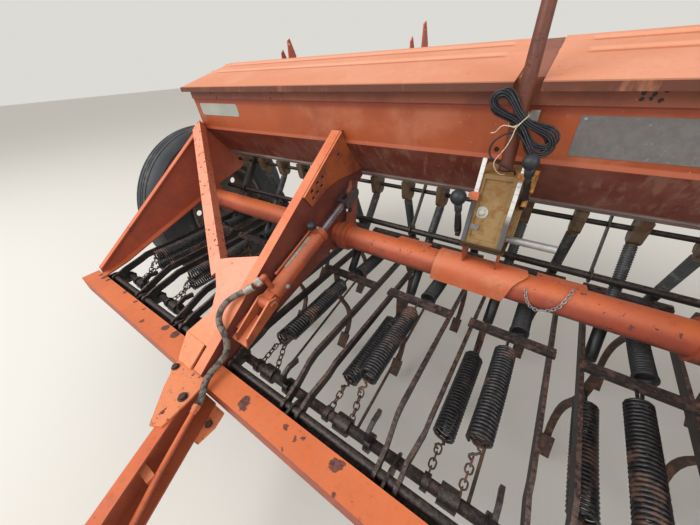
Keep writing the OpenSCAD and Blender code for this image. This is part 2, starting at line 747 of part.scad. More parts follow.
module centre_pole() {
  color("orangered") placed() difference() {
    translate([0, pole_y, gear_top_z]) cylinder(h = pole_top_z - gear_top_z, r = pole_r);
    translate([0, pole_y, gear_top_z + 10]) cylinder(h = pole_top_z - gear_top_z, r = pole_r - 4);
  }
}

// Curved guard that hangs from the gearbox over the rockshaft
module saddle_guard() {
  inner = tube_r + 9;
  x0 = -158;
  x1 = 130;
  color("orangered") placed() union() {
    difference() {
      x_rod(x0, x1, inner + 5, shaft_y, shaft_z);
      x_rod(x0 - 1, x1 + 1, inner, shaft_y, shaft_z);
      block([x0 - 1, shaft_y - 100, shaft_z - 100], [x1 + 1, shaft_y + 100, shaft_z]);
      block([x0 - 1, shaft_y + 20, shaft_z - 100], [x1 + 1, shaft_y + 100, shaft_z + 100]);
    }
    block([x0, shaft_y - inner - 5, shaft_z - 40], [x1, shaft_y - inner, shaft_z + 1]);
    for (x = [-62, 56]) side_plate(x, 6, [[gear_front_y + 24, gear_bottom_z - 8],
      [-180, gear_bottom_z - 8], [shaft_y + 14, shaft_z + inner],
      [shaft_y - 30, shaft_z + inner - 3]]);
  }
}

// Tall brackets behind the hopper, each with a smaller one beside it
module rear_brackets() {
  low_z = break_z + 75;
  high_z = break_z + 125;
  low = [rear_y(low_z) + seat, low_z];
  high = [rear_y(high_z) + seat, high_z];
  tall = [low, [622, low_z], [rear_reach - 30, 1400], [rear_reach - 6, 1500],
    [rear_reach, 1580], [672, 1683], [650, 1670], [640, 1560], [632, 1400], high];
  small = [low, [622, low_z], [690, 1400], [690, 1560], [660, 1620], [640, 1600], [632, 1400], high];
  apart = 70;
  color("orangered") placed() for (side = [-1, 1]) for (x = [arm_x - 20, end_x - 89]) sided(side) {
    difference() {
      side_plate(x, plate_t, tall);
      x_rod(x - 1, x + plate_t + 1, 8, 662, 1650);
    }
    side_plate(x + apart, plate_t, small);
  }
}

// Angle along the rail's rear face, under the drag bars
module hinge_angle() {
  leg = 58;
  t = 6;
  color("dimgray") placed() union() {
    block([-rows_half, rail_back_y, angle_top_z - t], [rows_half, rail_back_y + leg, angle_top_z]);
    block([-rows_half, rail_back_y, rail_bottom_z], [rows_half, rail_back_y + t, angle_top_z]);
  }
}
rows_half = unit_count * row_pitch + 10;
angle_top_z = rail_bottom_z + 24;

// Plates on that angle that hold the hinge shaft and the tension shaft
module rail_brackets() {
  edge_y = rail_back_y + 58;
  color("dimgray") placed() for (k = [0 : unit_count]) {
    x = (k - unit_count / 2) * 2 * row_pitch;
    difference() {
      side_plate(x - 4, 8, [[rail_back_y, angle_top_z], [edge_y + seat, angle_top_z],
        [edge_y + seat, tension_z - 26], [tension_y + 20, tension_z - 26],
        [tension_y + 28, tension_z + 6], [tension_y + 14, tension_z + 28],
        [hinge_y + 24, hinge_z + 14], [hinge_y + 10, hinge_z + 18], [rail_back_y, hinge_z + 18]]);
      x_rod(x - 5, x + 5, hinge_r + loose, hinge_y, hinge_z);
      x_rod(x - 5, x + 5, tension_r + loose, tension_y, tension_z);
    }
  }
}

module hinge_shaft() {
  color("dimgray") placed() x_rod(-rows_half, rows_half, hinge_r, hinge_y, hinge_z);
}

module tension_shaft() {
  color("saddlebrown") placed() x_rod(-rows_half, rows_half, tension_r, tension_y, tension_z);
}

// Spools on the tension shaft that take the chains, each with a curved lever beside it
module tension_levers() {
  lever_dx = 80;
  path = [[tension_y, tension_z + 20], [tension_y - 14, tension_z + 62],
    [tension_y - 6, tension_z + 82], [tension_y + 22, tension_z + 93],
    [tension_y + 66, tension_z + 86]];
  color("dimgray") placed() for (k = units) {
    x = unit_x(k);
    difference() {
      union() {
        x_rod(x - 50, x + 4, spool_r, tension_y, tension_z);
        x_rod(x - row_pitch / 2 - 10, x - row_pitch / 2 + 10, spool_r - 4, tension_y, tension_z);
        x_rod(x + lever_dx - 10, x + lever_dx + 10, spool_r, tension_y, tension_z);
        side_plate(x + lever_dx - 6, 12, ribbon(path, 22));
      }
      x_rod(x - row_pitch, x + row_pitch, tension_r + loose, tension_y, tension_z);
    }
  }
}

// Drag bars: two flat bars to a unit, spread and dropped towards the hinge
module drag_bars() {
  fore = bar_x + bar_splay;
  rear_end = rear_rank_y + 40;
  line = [[hinge_y, hinge_z], [-938, hinge_z + 18], [-800, bar_mid_z], [rear_end, bar_mid_z]];
  plan = [[fore, hinge_y - 30], [fore, -930], [bar_x, -840], [bar_x, rear_end]];
  color("dimgray") placed() for (k = units) for (s = [-1, 1]) translate([unit_x(k), 0, 0])
    sided(s) difference() {
      union() {
        intersection() {
          side_plate(0, row_pitch, ribbon(line, bar_h));
          translate([0, 0, 400]) linear_extrude(400) polygon(ribbon(plan, bar_t));
        }
        x_rod(fore - bar_t / 2, fore + bar_t / 2, hinge_r + 10, hinge_y, hinge_z);
      }
      x_rod(0, row_pitch, hinge_r + loose, hinge_y, hinge_z);
    }
}

// Flat cross bars that lie on the drag bars
module cross_bars() {
  half = bar_x + 12;
  color("dimgray") placed() for (k = units) for (y = [front_rank_y, rear_rank_y])
    block([unit_x(k) - half, y - cross_w / 2, cross_z],
      [unit_x(k) + half, y + cross_w / 2, cross_z + cross_t]);
}

// Curved tine with its hoe point, below the cross bar at y
module tine(x, y) {
  foot = [y + 24, point_z + 40];
  neck = [y, lower_z - spring_r];
  path = concat([[y, cross_z]],
    [for (j = [0 : 10]) bezier(neck, neck - [0, 90], [y + 170, 300], foot, j / 10)]);
  side_plate(x - shank_w / 2, shank_w, ribbon(path, shank_t));
  side_plate(x - hoe_w / 2, hoe_w, [foot + [14, 16], foot + [-2, 34], foot + [-58, -34],
    foot + [-50, -40], foot + [-8, -10]]);
}

module front_tines() {
  color("saddlebrown") placed() for (k = units) tine(row_x(2 * k), front_rank_y);
}

module rear_tines() {
  color("saddlebrown") placed() for (k = units) tine(row_x(2 * k + 1), rear_rank_y);
}

// Close-coiled spring along Y with its hook at the rear; a stack of wire turns
module spring(x, y_seat, z) {
  y0 = y_seat - spring_hook;
  turns = floor(spring_l / (2 * wire_r) / 2);
  pitch = spring_l / turns;
  profile = concat([[spring_r - 2 * wire_r, 0]],
    [for (n = [0 : turns - 1]) each [[spring_r - 1.5, n * pitch], [spring_r, (n + 0.5) * pitch]]],
    [[spring_r - 1.5, spring_l], [spring_r - 2 * wire_r, spring_l]]);
  translate([x, y0, z]) rotate([90, 0, 0]) rotate_extrude($fn = 16) polygon(profile);
  translate([x, y_seat, z]) rotate([90, 0, 0]) cylinder(h = spring_hook + 4, r = wire_r);
  for (y = [y0 + 2, y0 - spring_l + 8])
    translate([x, y, z]) rotate([90, 0, 0]) cylinder(h = 6, r = spring_r - 2 * wire_r + 1);
}

module upper_springs() {
  color("dimgray") placed() for (k = units) spring(unit_x(k), upper_seat_y, upper_z);
}

module lower_springs() {
  color("dimgray") placed() for (k = units) spring(row_x(2 * k), lower_seat_y, lower_z);
}

module rear_springs() {
  color("dimgray") placed() for (k = units)
    spring(unit_x(k) + rear_spring_x, rear_seat_y, upper_z);
}

// Front end of a spring that is seated at y
function spring_front(y) = y - spring_hook - spring_l;

// Point of a round bar about the tension shaft, at r from its axis and towards p
function on_shaft(p, r) =
  let (d = [p[0] - tension_y, p[1] - tension_z]) [tension_y, tension_z] + r * d / norm(d);

// Chain between two points of one X plane; its links stand upright and lie flat in turn
module chain(x, a, b) {
  d = b - a;
  count = max(3, round(norm(d) / link_pitch));
  step = norm(d) / count;
  translate([x, a[0], a[1]]) rotate([atan2(-d[0], d[1]), 0, 0]) union()
    for (i = [0 : count - 1]) translate([0, 0, (i + 0.5) * step]) rotate([0, 0, 90 * (i % 2)])
      rotate([90, 0, 0]) linear_extrude(link_t, center = true) difference() {
        square([link_w, step + (i % 2 == 0 ? 0 : link_t)], center = true);
        square([link_w - 2 * link_t, step - link_t], center = true);
      }
}
link_pitch = 20;
link_w = 20;
link_t = 5;

// Chains from the front springs to the spools
module spring_chains() {
  color("saddlebrown") placed() for (k = units)
    for (c = [[unit_x(k), [spring_front(upper_seat_y) - 6, upper_z], spool_r],
      [row_x(2 * k), [spring_front(lower_seat_y) - 1, lower_z], spool_r - 4]])
      chain(c[0], c[1], on_shaft(c[1], c[2] + seat));
}

// Rods from the rear springs, under the front cross bar, to the tension shaft
module spring_rods() {
  color("saddlebrown") placed() for (k = units) {
    start = [spring_front(rear_seat_y), upper_z - 16];
    end = on_shaft(start, tension_r + seat);
    x = unit_x(k) + rear_spring_x;
    rod_between([x, start[0], start[1]], [x, end[0], end[1]], 5);
  }
}

// Rockshaft: middle tube with end flanges
module rockshaft_tube() {
  x1 = lever_x - lever_t / 2;
  color("orangered") placed() difference() {
    union() {
      x_rod(-x1, x1, tube_r, shaft_y, shaft_z);
      for (s = [-1, 1]) x_rod(s * x1 - (s > 0 ? collar_t : 0), s * x1 + (s > 0 ? 0 : collar_t),
        collar_r, shaft_y, shaft_z);
      for (x = [-290, 270]) translate([x, shaft_y, shaft_z]) rotate([-tab_tilt, 0, 0])
        block([-tab_l / 2, -6, tube_r - 12], [tab_l / 2, 48, tube_r + 2]);
    }
    x_rod(-x1 + 8, x1 - 8, tube_r - tube_wall, shaft_y, shaft_z);
  }
}

// Outer tubes from the lever through arm and end plate to the cranks
module rockshaft_ends() {
  color("orangered") placed() for (s = [-1, 1]) sided(s) difference() {
    union() {
      x_rod(lever_x + lever_t / 2, crank_x, tube_r, shaft_y, shaft_z);
      x_rod(lever_x + lever_t / 2, lever_x + lever_t / 2 + collar_t, collar_r, shaft_y, shaft_z);
    }
    x_rod(lever_x + lever_t / 2 + 8, crank_x - 8, tube_r - tube_wall, shaft_y, shaft_z);
  }
}

// Lift lever on the left and a plain spacer on the right
module lift_lever() {
  x0 = -lever_x - lever_t / 2;
  color("firebrick") placed() {
    difference() {
      union() {
        x_rod(x0, x0 + lever_t, collar_r, shaft_y, shaft_z);
        x_rod(x0, x0 + lever_t, eye_boss_r, eye_y, eye_z);
        side_plate(x0, lever_t, [[shaft_y - 10, shaft_z + 40], [shaft_y + 60, shaft_z],
          [shaft_y + 72, shaft_z + 70], [eye_y + 30, eye_z - 60], [eye_y + 34, eye_z],
          [eye_y + 44, eye_z + 48], [eye_y + 4, eye_z + 56], [eye_y - 20, eye_z + 20],
          [eye_y - 16, eye_z - 60]]);
      }
      x_rod(x0 - 1, x0 + lever_t + 1, cyl_pin_r + eye_room, eye_y, eye_z);
    }
    x_rod(lever_x - lever_t / 2, lever_x + lever_t / 2, collar_r, shaft_y, shaft_z);
  }
}

// Crank arm from the rockshaft to the stub axle
module crank(side) {
  d = [axle_y - shaft_y, axle_z - shaft_z];
  n = [-d[1], d[0]] / norm(d);
  big_r = tube_r + 5;
  small_r = axle_r + 19;
  nut_x = wheel_x + 66;
  color("orangered") placed() sided(side) union() {
    side_plate(crank_x, crank_t, [[shaft_y, shaft_z] + n * (big_r - 2),
      [shaft_y, shaft_z] - n * (big_r - 2), [axle_y, axle_z] - n * (small_r - 2),
      [axle_y, axle_z] + n * (small_r - 2)]);
    x_rod(crank_x, crank_x + crank_t, big_r, shaft_y, shaft_z);
    x_rod(crank_x, crank_x + crank_t, small_r, axle_y, axle_z);
    x_rod(crank_x, nut_x + 4, axle_r, axle_y, axle_z);
    x_rod(nut_x, nut_x + 12, axle_r + 12, axle_y, axle_z);
  }
}

// Revolved profile about the wheel axle; radius first, then distance along the axle
module on_axle(side) {
  placed() sided(side) translate([wheel_x, axle_y, axle_z]) rotate([0, 90, 0]) children();
}

module rim(side) {
  half = tyre_w * 0.42;
  color("gainsboro") on_axle(side) difference() {
    union() {
      rotate_extrude($fn = 96) polygon([[rim_r - 10, -half], [rim_r + 8, -half],
        [rim_r, -half + 16], [rim_r, half - 16], [rim_r + 8, half], [rim_r - 10, half],
        [rim_r - 10, 20], [rim_r - 50, 8], [hub_r - 6, 8], [hub_r - 6, 0], [rim_r - 46, 0],
        [rim_r - 10, 8]]);
      translate([0, 0, -58]) cylinder(h = 122, r = hub_r);
    }
    translate([0, 0, -80]) cylinder(h = 200, r = axle_r + run);
    for (a = [0 : 45 : 315]) rotate([0, 0, a]) translate([rim_r - 90, 0, -10])
      cylinder(h = 40, r = 22);
  }
}

// Tyre: a horseshoe section turned about the axle
module tyre(side) {
  r = tyre_d / 2;
  half = tyre_w / 2;
  mid = (r + rim_r) / 2;
  wall = 20;
  outer = [[rim_r + seat, 0.70 * half], [rim_r + 40, 0.84 * half], [mid, half],
    [r - 60, 0.96 * half], [r - 18, 0.80 * half], [r, 0.5 * half]];
  inner = [[r - 34, 0.46 * half], [r - 40, 0.72 * half], [r - 68, 0.96 * half - wall],
    [mid, half - wall], [rim_r + 44, 0.84 * half - wall], [rim_r + seat, 0.70 * half - wall]];
  last = len(outer) - 1;
  color("dimgray") on_axle(side) rotate_extrude($fn = 72) polygon(concat(
    outer, [for (i = [last : -1 : 0]) [outer[i][0], -outer[i][1]]],
    [for (i = [last : -1 : 0]) [inner[i][0], -inner[i][1]]], inner));
}

// Channel on the arm with two ears that carry the cylinder's base pin
module cylinder_bracket() {
  ear_x = barrel_eye_w + ear_gap;
  ear = [[base_y - 150, base_z - 98], [base_y - 4, base_z - 30], [base_y + 26, base_z - 16],
    [base_y + 26, base_z + 22], [base_y - 10, base_z + 28], [base_y - 140, base_z - 54]];
  sole = [[base_y - 150, base_z - 98], [base_y - 44, base_z - 49], [base_y - 44, base_z - 41],
    [base_y - 150, base_z - 90]];
  color("orangered") placed() union() {
    for (x = [-lever_x - ear_x - 8, -lever_x + ear_x]) side_plate(x, 8, ear);
    side_plate(-arm_x, arm_x - lever_x + ear_x, sole);
    side_plate(-arm_x, arm_x - lever_x - ear_x, [[base_y - 120, base_z - 70],
      [base_y - 60, base_z - 42], [base_y - 60, base_z - 34], [base_y - 120, base_z - 60]]);
    x_rod(-lever_x - ear_x - 12, -lever_x + ear_x + 14, cyl_pin_r, base_y, base_z);
  }
}

// Turns the Z axis from the base pin along the cylinder
module on_cylinder() {
  placed() translate([-lever_x, base_y, base_z]) rotate([cyl_a - 90, 0, 0]) children();
}

module cylinder_barrel() {
  w = barrel_eye_w;
  color("orangered") on_cylinder() difference() {
    union() {
      translate([0, 0, 40]) cylinder(h = barrel_l - 40, r = barrel_r);
      translate([0, 0, barrel_l - 24]) cylinder(h = 24, r = barrel_r + 5);
      rotate([0, 90, 0]) cylinder(h = 2 * w, r = 27, center = true);
      translate([-w, -24, 0]) cube([2 * w, 48, 44]);
    }
    rotate([0, 90, 0]) cylinder(h = 200, r = cyl_pin_r + run, center = true);
    translate([0, 0, barrel_wall + 52]) cylinder(h = barrel_l, r = rod_r + run);
  }
  color("orangered") placed() {
    rod_between([-lever_x, base_y + 44, base_z + 38], elbow, 11);
    translate(elbow) sphere(r = 14);
    rod_between(elbow, hose_start - elbow_gap * elbow_aim, 13);
  }
}

// Piston rod with its fork and pin
module cylinder_rod() {
  ear_x = lever_t / 2 + ear_gap;
  color("silver") on_cylinder() union() {
    translate([0, 0, 200]) cylinder(h = cyl_l - 200 - ear_l, r = rod_r);
    translate([-ear_x - ear_t, -22, cyl_l - ear_l - bridge_t])
      cube([2 * (ear_x + ear_t), 44, bridge_t]);
    for (s = [-1, 1]) translate([s * (ear_x + ear_t / 2), 0, cyl_l]) {
      rotate([0, 90, 0]) cylinder(h = ear_t, r = 26, center = true);
      translate([-ear_t / 2, -22, -ear_l - 1]) cube([ear_t, 44, ear_l + 1]);
    }
    translate([0, 0, cyl_l]) rotate([0, 90, 0])
      cylinder(h = 2 * (ear_x + ear_t), r = cyl_pin_r, center = true);
  }
}

// Rigid pipe along the left drawbar's top flange, with collars that rest on the flange's edge
module hydraulic_pipe() {
  function on_pipe(y) = [pipe_x(y), y, pipe_z];
  color("orangered") placed() union() {
    rod_between(on_pipe(pipe_start_y), on_pipe(pipe_end_y), pipe_r);
    for (y = [pipe_start_y, -1500, -1900, pipe_end_y + 20])
      rod_between(on_pipe(y), on_pipe(y - 20), free_hose_r);
  }
}

// Tube swept along a route of points
function route_frame(p, i) =
  let (a = p[max(i - 1, 0)], b = p[min(i + 1, len(p) - 1)], t = (b - a) / norm(b - a),
    u = cross(t, [0, 0, 1]), v = cross(t, u / norm(u)))
  [u / norm(u), v];
module route_tube(p, r, sides) {
  points = [for (i = [0 : len(p) - 1]) let (f = route_frame(p, i)) for (j = [0 : sides - 1])
    p[i] + r * (cos(360 * j / sides) * f[0] + sin(360 * j / sides) * f[1])];
  walls = [for (i = [0 : len(p) - 2]) for (j = [0 : sides - 1])
    [i * sides + j, (i + 1) * sides + j, (i + 1) * sides + (j + 1) % sides,
      i * sides + (j + 1) % sides]];
  first = [for (j = [0 : sides - 1]) j];
  last = [for (j = [sides - 1 : -1 : 0]) (len(p) - 1) * sides + j];
  polyhedron(points, concat(walls, [first, last]));
}

module hydraulic_hose() {
  color("black") placed() route_tube(hose_points, free_hose_r, 10);
}

// Hank of cable tied to the pole: two lobes that meet in a narrow waist
module cable_hank() {
  waist_r = 17;
  color("black") placed() translate([15, pole_y - pole_r - seat - hank_t, 1352])
    rotate([-90, 0, 0]) rotate([0, 0, 40]) linear_extrude(hank_t)
      for (lobe = [[-86, 38], [86, 42]]) hull() {
        circle(r = waist_r);
        translate([lobe[0], 0]) circle(r = lobe[1]);
      }
}

front_rail();
end_plate(-1);  // end_plate_left
end_plate(1);  // end_plate_right
arm(-1);  // arm_left
arm(1);  // arm_right
strut(-1);  // strut_left
strut(1);  // strut_right
drawbar(-1);  // drawbar_left
drawbar(1);  // drawbar_right
drawbar_gussets();
hitch_plates();
jack_sleeve();
jack_leg();
hopper();
lid(-1);  // lid_left
lid(1);  // lid_right
seed_cups();
feed_shaft();
cross_shaft();
shaft_hangers();
seed_tubes(0);  // front_seed_tubes
seed_tubes(1);  // rear_seed_tubes
gearbox_housing();
gearbox_scales();
gearbox_levers();
gearbox_shaft();
centre_pole();
saddle_guard();
rear_brackets();
rail_brackets();
hinge_angle();
hinge_shaft();
tension_shaft();
tension_levers();
drag_bars();
cross_bars();
front_tines();
rear_tines();
upper_springs();
lower_springs();
rear_springs();
spring_chains();
spring_rods();
rockshaft_tube();
rockshaft_ends();
lift_lever();
crank(-1);  // crank_left
crank(1);  // crank_right
rim(-1);  // rim_left
rim(1);  // rim_right
tyre(-1);  // tyre_left
tyre(1);  // tyre_right
cylinder_bracket();
cylinder_barrel();
cylinder_rod();
hydraulic_pipe();
hydraulic_hose();
cable_hank();
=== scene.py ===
import math
import random

import bmesh
import bpy
from mathutils import Matrix, Vector


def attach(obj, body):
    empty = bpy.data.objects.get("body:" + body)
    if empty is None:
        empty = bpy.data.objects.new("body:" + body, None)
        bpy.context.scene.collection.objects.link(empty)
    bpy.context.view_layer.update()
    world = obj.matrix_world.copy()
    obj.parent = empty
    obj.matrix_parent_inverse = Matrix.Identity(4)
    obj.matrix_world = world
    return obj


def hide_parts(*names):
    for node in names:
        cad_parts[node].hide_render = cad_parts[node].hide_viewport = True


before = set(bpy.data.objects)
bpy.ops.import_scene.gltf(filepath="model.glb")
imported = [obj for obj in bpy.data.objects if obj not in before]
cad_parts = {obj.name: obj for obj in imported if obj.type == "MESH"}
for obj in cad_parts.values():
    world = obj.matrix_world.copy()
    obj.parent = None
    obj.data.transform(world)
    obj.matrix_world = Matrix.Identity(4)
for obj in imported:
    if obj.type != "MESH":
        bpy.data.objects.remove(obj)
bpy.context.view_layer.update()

rowLineY = 1.04  # the seed row line, behind the middle of the machine


def place(x, y, z):
    # a point given from the row line, in metres
    return Vector((x, y + rowLineY, z))


def newObject(name, data):
    item = bpy.data.objects.new(name, data)
    bpy.context.scene.collection.objects.link(item)
    return item


# the photograph's view: lens, place and the three directions of the picture
view = {
    "lens": 14.651,
    "sensor": 36.0,
    "place": place(0.12623, -1.26116, 1.51743),
    "right": Vector((0.82281873, 0.56598908, -0.0512417)),
    "down": Vector((0.29130786, -0.49747152, -0.81710576)),
    "forward": Vector((-0.48796422, 0.65740281, -0.57420595)),
}


def makeCamera():
    cam = newObject("camera", bpy.data.cameras.new("camera"))
    cam.data.lens = view["lens"]
    cam.data.sensor_width = view["sensor"]
    cam.data.clip_start, cam.data.clip_end = 0.02, 200
    turn = Matrix((view["right"], -view["down"], -view["forward"])).transposed().to_4x4()
    cam.matrix_world = Matrix.Translation(view["place"]) @ turn
    bpy.context.scene.camera = cam


makeCamera()
print("stage: camera")


def tint(code):
    # linear colour from a hex code
    parts = [int(code[i:i + 2], 16) / 255 for i in (1, 3, 5)]
    linear = [c / 12.92 if c <= 0.04045 else ((c + 0.055) / 1.055) ** 2.4 for c in parts]
    return (*linear, 1.0)


class Value:
    # a number socket that can be used in sums
    def __init__(self, shader, socket):
        self.shader, self.socket = shader, socket

    def math(self, operation, *others):
        values = {i: o for i, o in enumerate([self, *others])}
        return self.shader.add("ShaderNodeMath", {"operation": operation}, values)

    def __add__(self, other): return self.math("ADD", other)
    __radd__ = __add__
    def __sub__(self, other): return self.math("SUBTRACT", other)
    def __rsub__(self, other): return (self * -1.0) + other
    def __mul__(self, other): return self.math("MULTIPLY", other)
    __rmul__ = __mul__
    def high(self, other): return self.math("MAXIMUM", other)


class NodeMaker:
    # adds nodes to a tree: first their settings, then the values or links of their sockets
    def make(self, kind, settings=None, values=None):
        node = self.tree.nodes.new(kind)
        for key, value in (settings or {}).items():
            setattr(node, key, value)
        for key, value in (values or {}).items():
            for part in value if isinstance(value, list) else [value]:
                self.give(node.inputs[key], part)
        return node

    def give(self, socket, value):
        if isinstance(value, Value):
            value = value.socket
        elif isinstance(value, str) and value.startswith("#"):
            value = tint(value)
        if isinstance(value, bpy.types.NodeSocket):
            self.tree.links.new(value, socket)
        else:
            socket.default_value = value


class Shader(NodeMaker):
    # one material
    def __init__(self, name):
        self.material = bpy.data.materials.new(name)
        self.material.use_nodes = True
        self.tree = self.material.node_tree
        self.bsdf = self.tree.nodes["Principled BSDF"]
        self.coords = None

    def add(self, kind, settings=None, values=None, out=0):
        return Value(self, self.make(kind, settings, values).outputs[out])

    def point(self, out="Object"):
        if self.coords is None:
            self.coords = self.tree.nodes.new("ShaderNodeTexCoord")
        return Value(self, self.coords.outputs[out])

    def scaled(self, x=1.0, y=1.0, z=1.0, turn=(0, 0, 0)):
        return self.add("ShaderNodeMapping", {}, {
            "Vector": self.point(), "Scale": (x, y, z), "Rotation": turn})

    def noise(self, scale, detail=4.0, rough=0.55, vector=None):
        return self.add("ShaderNodeTexNoise", {"noise_dimensions": "3D"}, {
            "Vector": vector or self.point(), "Scale": scale, "Detail": detail, "Roughness": rough})

    def axis(self, name, of="Object"):
        return self.add("ShaderNodeSeparateXYZ", {}, {"Vector": self.point(of)}, out=name)

    def step(self, value, low, high):
        # 0 below low, 1 above high, smooth between
        return self.add("ShaderNodeMapRange", {"interpolation_type": "SMOOTHSTEP"}, {
            "Value": value, "From Min": low, "From Max": high, "To Min": 0.0, "To Max": 1.0})

    def above(self, value, low, soft):
        return self.step(value, low, low + soft)

    def band(self, value, low, lowFull, highFull, high):
        # 1 between two soft edges
        return self.step(value, low, lowFull) * self.step(value, high, highFull)

    def spots(self, places, wobble=0.014):
        # 1 inside the round places (x, y, z, radius), with uneven rims
        bend = self.add("ShaderNodeTexNoise", {"noise_dimensions": "3D"}, {
            "Vector": self.point(), "Scale": 62.0, "Detail": 5.0, "Roughness": 0.65}, out="Color")
        bent = self.add("ShaderNodeVectorMath", {"operation": "MULTIPLY_ADD"}, {
            0: bend, 1: (wobble,) * 3, 2: self.point()})
        mask = None
        for x, y, z, radius in places:
            centre = tuple(c + wobble / 2 for c in place(x, y, z))
            far = self.add("ShaderNodeVectorMath", {"operation": "DISTANCE"}, {
                0: bent, 1: centre}, out="Value")
            inside = self.step(far, radius, radius * 0.88)
            mask = inside if mask is None else mask.high(inside)
        return mask

    def mix(self, factor, first, second):
        return self.add("ShaderNodeMix", {"data_type": "RGBA"}, {
            0: factor, 6: first, 7: second}, out=2)

    def finish(self, colour, rough, metal=0.0, bump=None, depth=0.001, strength=1.0):
        self.give(self.bsdf.inputs["Base Color"], colour)
        self.give(self.bsdf.inputs["Roughness"], rough)
        self.give(self.bsdf.inputs["Metallic"], metal)
        if bump is not None:
            node = self.add("ShaderNodeBump", {}, {
                "Height": bump, "Distance": depth, "Strength": strength})
            self.give(self.bsdf.inputs["Normal"], node)
        return self.material


def pressedFolds(s, colour, folds):
    # folds along the lids, each with painted shade on its lower side and a painted highlight above
    # it, the brown hem at the front, and painted shade on the front skirt
    across, side = s.axis("Y"), s.axis("X").math("ABSOLUTE")
    inside = s.band(side, 0.105, 0.125, 1.755, 1.775)
    for y in folds:
        fold = y + rowLineY
        # painted shade under each fold and a painted highlight just above it
        dark = s.band(across, fold - 0.001, fold + 0.002, fold + 0.012, fold + 0.019)
        foldHighlight = s.band(across, fold + 0.014, fold + 0.022, fold + 0.028, fold + 0.046)
        colour = s.mix(dark * inside * 0.75, colour, "#b0603f")
        colour = s.mix(foldHighlight * inside * 0.35, colour, "#f0b291")
    hem = s.step(across, rowLineY - 0.187, rowLineY - 0.19)
    colour = s.mix(hem * 0.85, colour, "#9c5c3b")
    # painted shade on the upright skirt under the lid's front edge
    skirtShade = s.step(across, rowLineY - 0.198, rowLineY - 0.1992)
    return s.mix(skirtShade * 0.9, colour, "#522718")


def agedPaint(name, look):
    # sun-bleached paint: paler on top, painted shade on upright faces and more on the undersides,
    # rust where it has chipped
    s = Shader(name)
    up = s.axis("Z", "Normal")
    broad = s.noise(look["patch"], 4, 0.6)
    middle = s.noise(look["patch"] * 3.3, 6, 0.66)
    fine = s.noise(60.0, 5, 0.7)
    # painted shade: upright faces take the darker wall tints, down-facing faces a darker tint still
    wall = s.mix(s.step(middle, 0.4, 0.62), look["wall"], look["wallTwo"])
    top = s.mix(s.step(broad, 0.38, 0.62), look["top"], look["topTwo"])
    colour = s.mix(s.step(up, 0.25, 0.75), wall, top)
    colour = s.mix(s.step(up, -0.1, -0.8), colour, look["under"])
    if "lowTint" in look:  # shaded faces low in a channel
        low = s.step(s.axis("Z"), 0.55, 0.5)
        colour = s.mix(low * 0.85, colour, look["lowTint"])
    if "footTint" in look:  # brighter orange where the struts meet the rail
        colour = s.mix(s.step(s.axis("Z"), 0.78, 0.67) * 0.85, colour, look["footTint"])
    if "inner" in look:  # the plate doubled onto the arm's inner face
        code, far, near = look["inner"]
        doubled = s.step(s.axis("X").math("ABSOLUTE"), far, near) * s.step(up, 0.5, 0.3)
        plate = s.mix(s.step(middle, 0.4, 0.6), code, "#7f4430")
        colour = s.mix(doubled, colour, plate)
    if "creases" in look:
        colour = pressedFolds(s, colour, look["creases"])
    stain = s.step(middle, 0.53, 0.7) * look["stain"]
    colour = s.mix(stain, colour, look["stainTint"])
    streak = s.step(s.noise(16.0, 5, 0.65, s.scaled(1.0, 0.5, 0.25)), 0.55, 0.75)
    colour = s.mix(streak * look["streak"], colour, look["streakTint"])
    blotch = s.above(s.noise(look["blotch"], 7, 0.68), look["blotchFrom"], 0.012)
    pit = s.above(s.noise(look["pit"], 4, 0.6), look["pitFrom"], 0.02)
    pit = pit * s.above(broad, look["pitZone"], 0.1)
    worn = blotch.high(pit)
    if "spots" in look:
        worn = worn.high(s.spots(look["spots"], 0.03))
    rust = s.mix(s.step(fine, 0.35, 0.65), "#4a2a26", "#7d4b42")
    colour = s.mix(worn, colour, rust)
    colour = s.mix(s.step(fine, 0.52, 0.8) * look["grain"], colour, "#4a2016")
    rough = 0.46 + fine * 0.2 + worn * 0.25
    return s.finish(colour, rough, 0.0, fine * 0.35 - worn * 0.9 + middle * 0.3, 0.0014, 0.7)


basePaint = {
    "top": "#e07d4e", "topTwo": "#d86f40", "wall": "#a2482a", "wallTwo": "#8a412c",
    "under": "#5c2f24", "stain": 0.45, "stainTint": "#8a4a38",
    "streak": 0.25, "streakTint": "#d8622a", "patch": 3.2, "grain": 0.35,
    "blotch": 6.0, "blotchFrom": 0.665, "pit": 60.0, "pitFrom": 0.7, "pitZone": 0.5}
railTop = 0.6
railRust = [(x, y, railTop, size) for x, y, size in (
    (-0.497, -1.064, 0.021), (-0.483, -1.08, 0.013), (-0.322, -1.046, 0.01),
    (-0.273, -1.057, 0.007), (-0.253, -1.039, 0.008), (-0.132, -1.043, 0.017),
    (-0.118, -1.034, 0.012), (-1.076, -1.038, 0.019), (-1.0, -1.034, 0.022),
    (-1.215, -1.077, 0.01), (-1.517, -1.025, 0.012), (-1.385, -1.031, 0.011),
    (-1.768, -1.032, 0.016), (-1.72, -1.028, 0.013), (-1.815, -1.03, 0.012),
    (-1.29, -1.033, 0.009), (-0.286, -1.096, 0.005), (-0.095, -1.1, 0.008),
    (0.34, -1.05, 0.016), (0.61, -1.04, 0.012), (1.13, -1.036, 0.018),
    (1.42, -1.085, 0.01))]
railPaint = agedPaint("rail_paint", {
    **basePaint, "top": "#d36f3e", "topTwo": "#c9673b", "stain": 0.25, "stainTint": "#bb6f4e",
    "spots": railRust, "streak": 0.5, "streakTint": "#dd6420",
    "blotch": 7.5, "blotchFrom": 0.7, "pitFrom": 0.69})
armPaint = agedPaint("arm_paint", {
    **basePaint, "top": "#dc8058", "topTwo": "#d2714a", "wall": "#743a2c", "wallTwo": "#60302a",
    "inner": ("#a5562f", 0.697, 0.693), "stain": 0.4, "stainTint": "#9a4824", "pitFrom": 0.715})
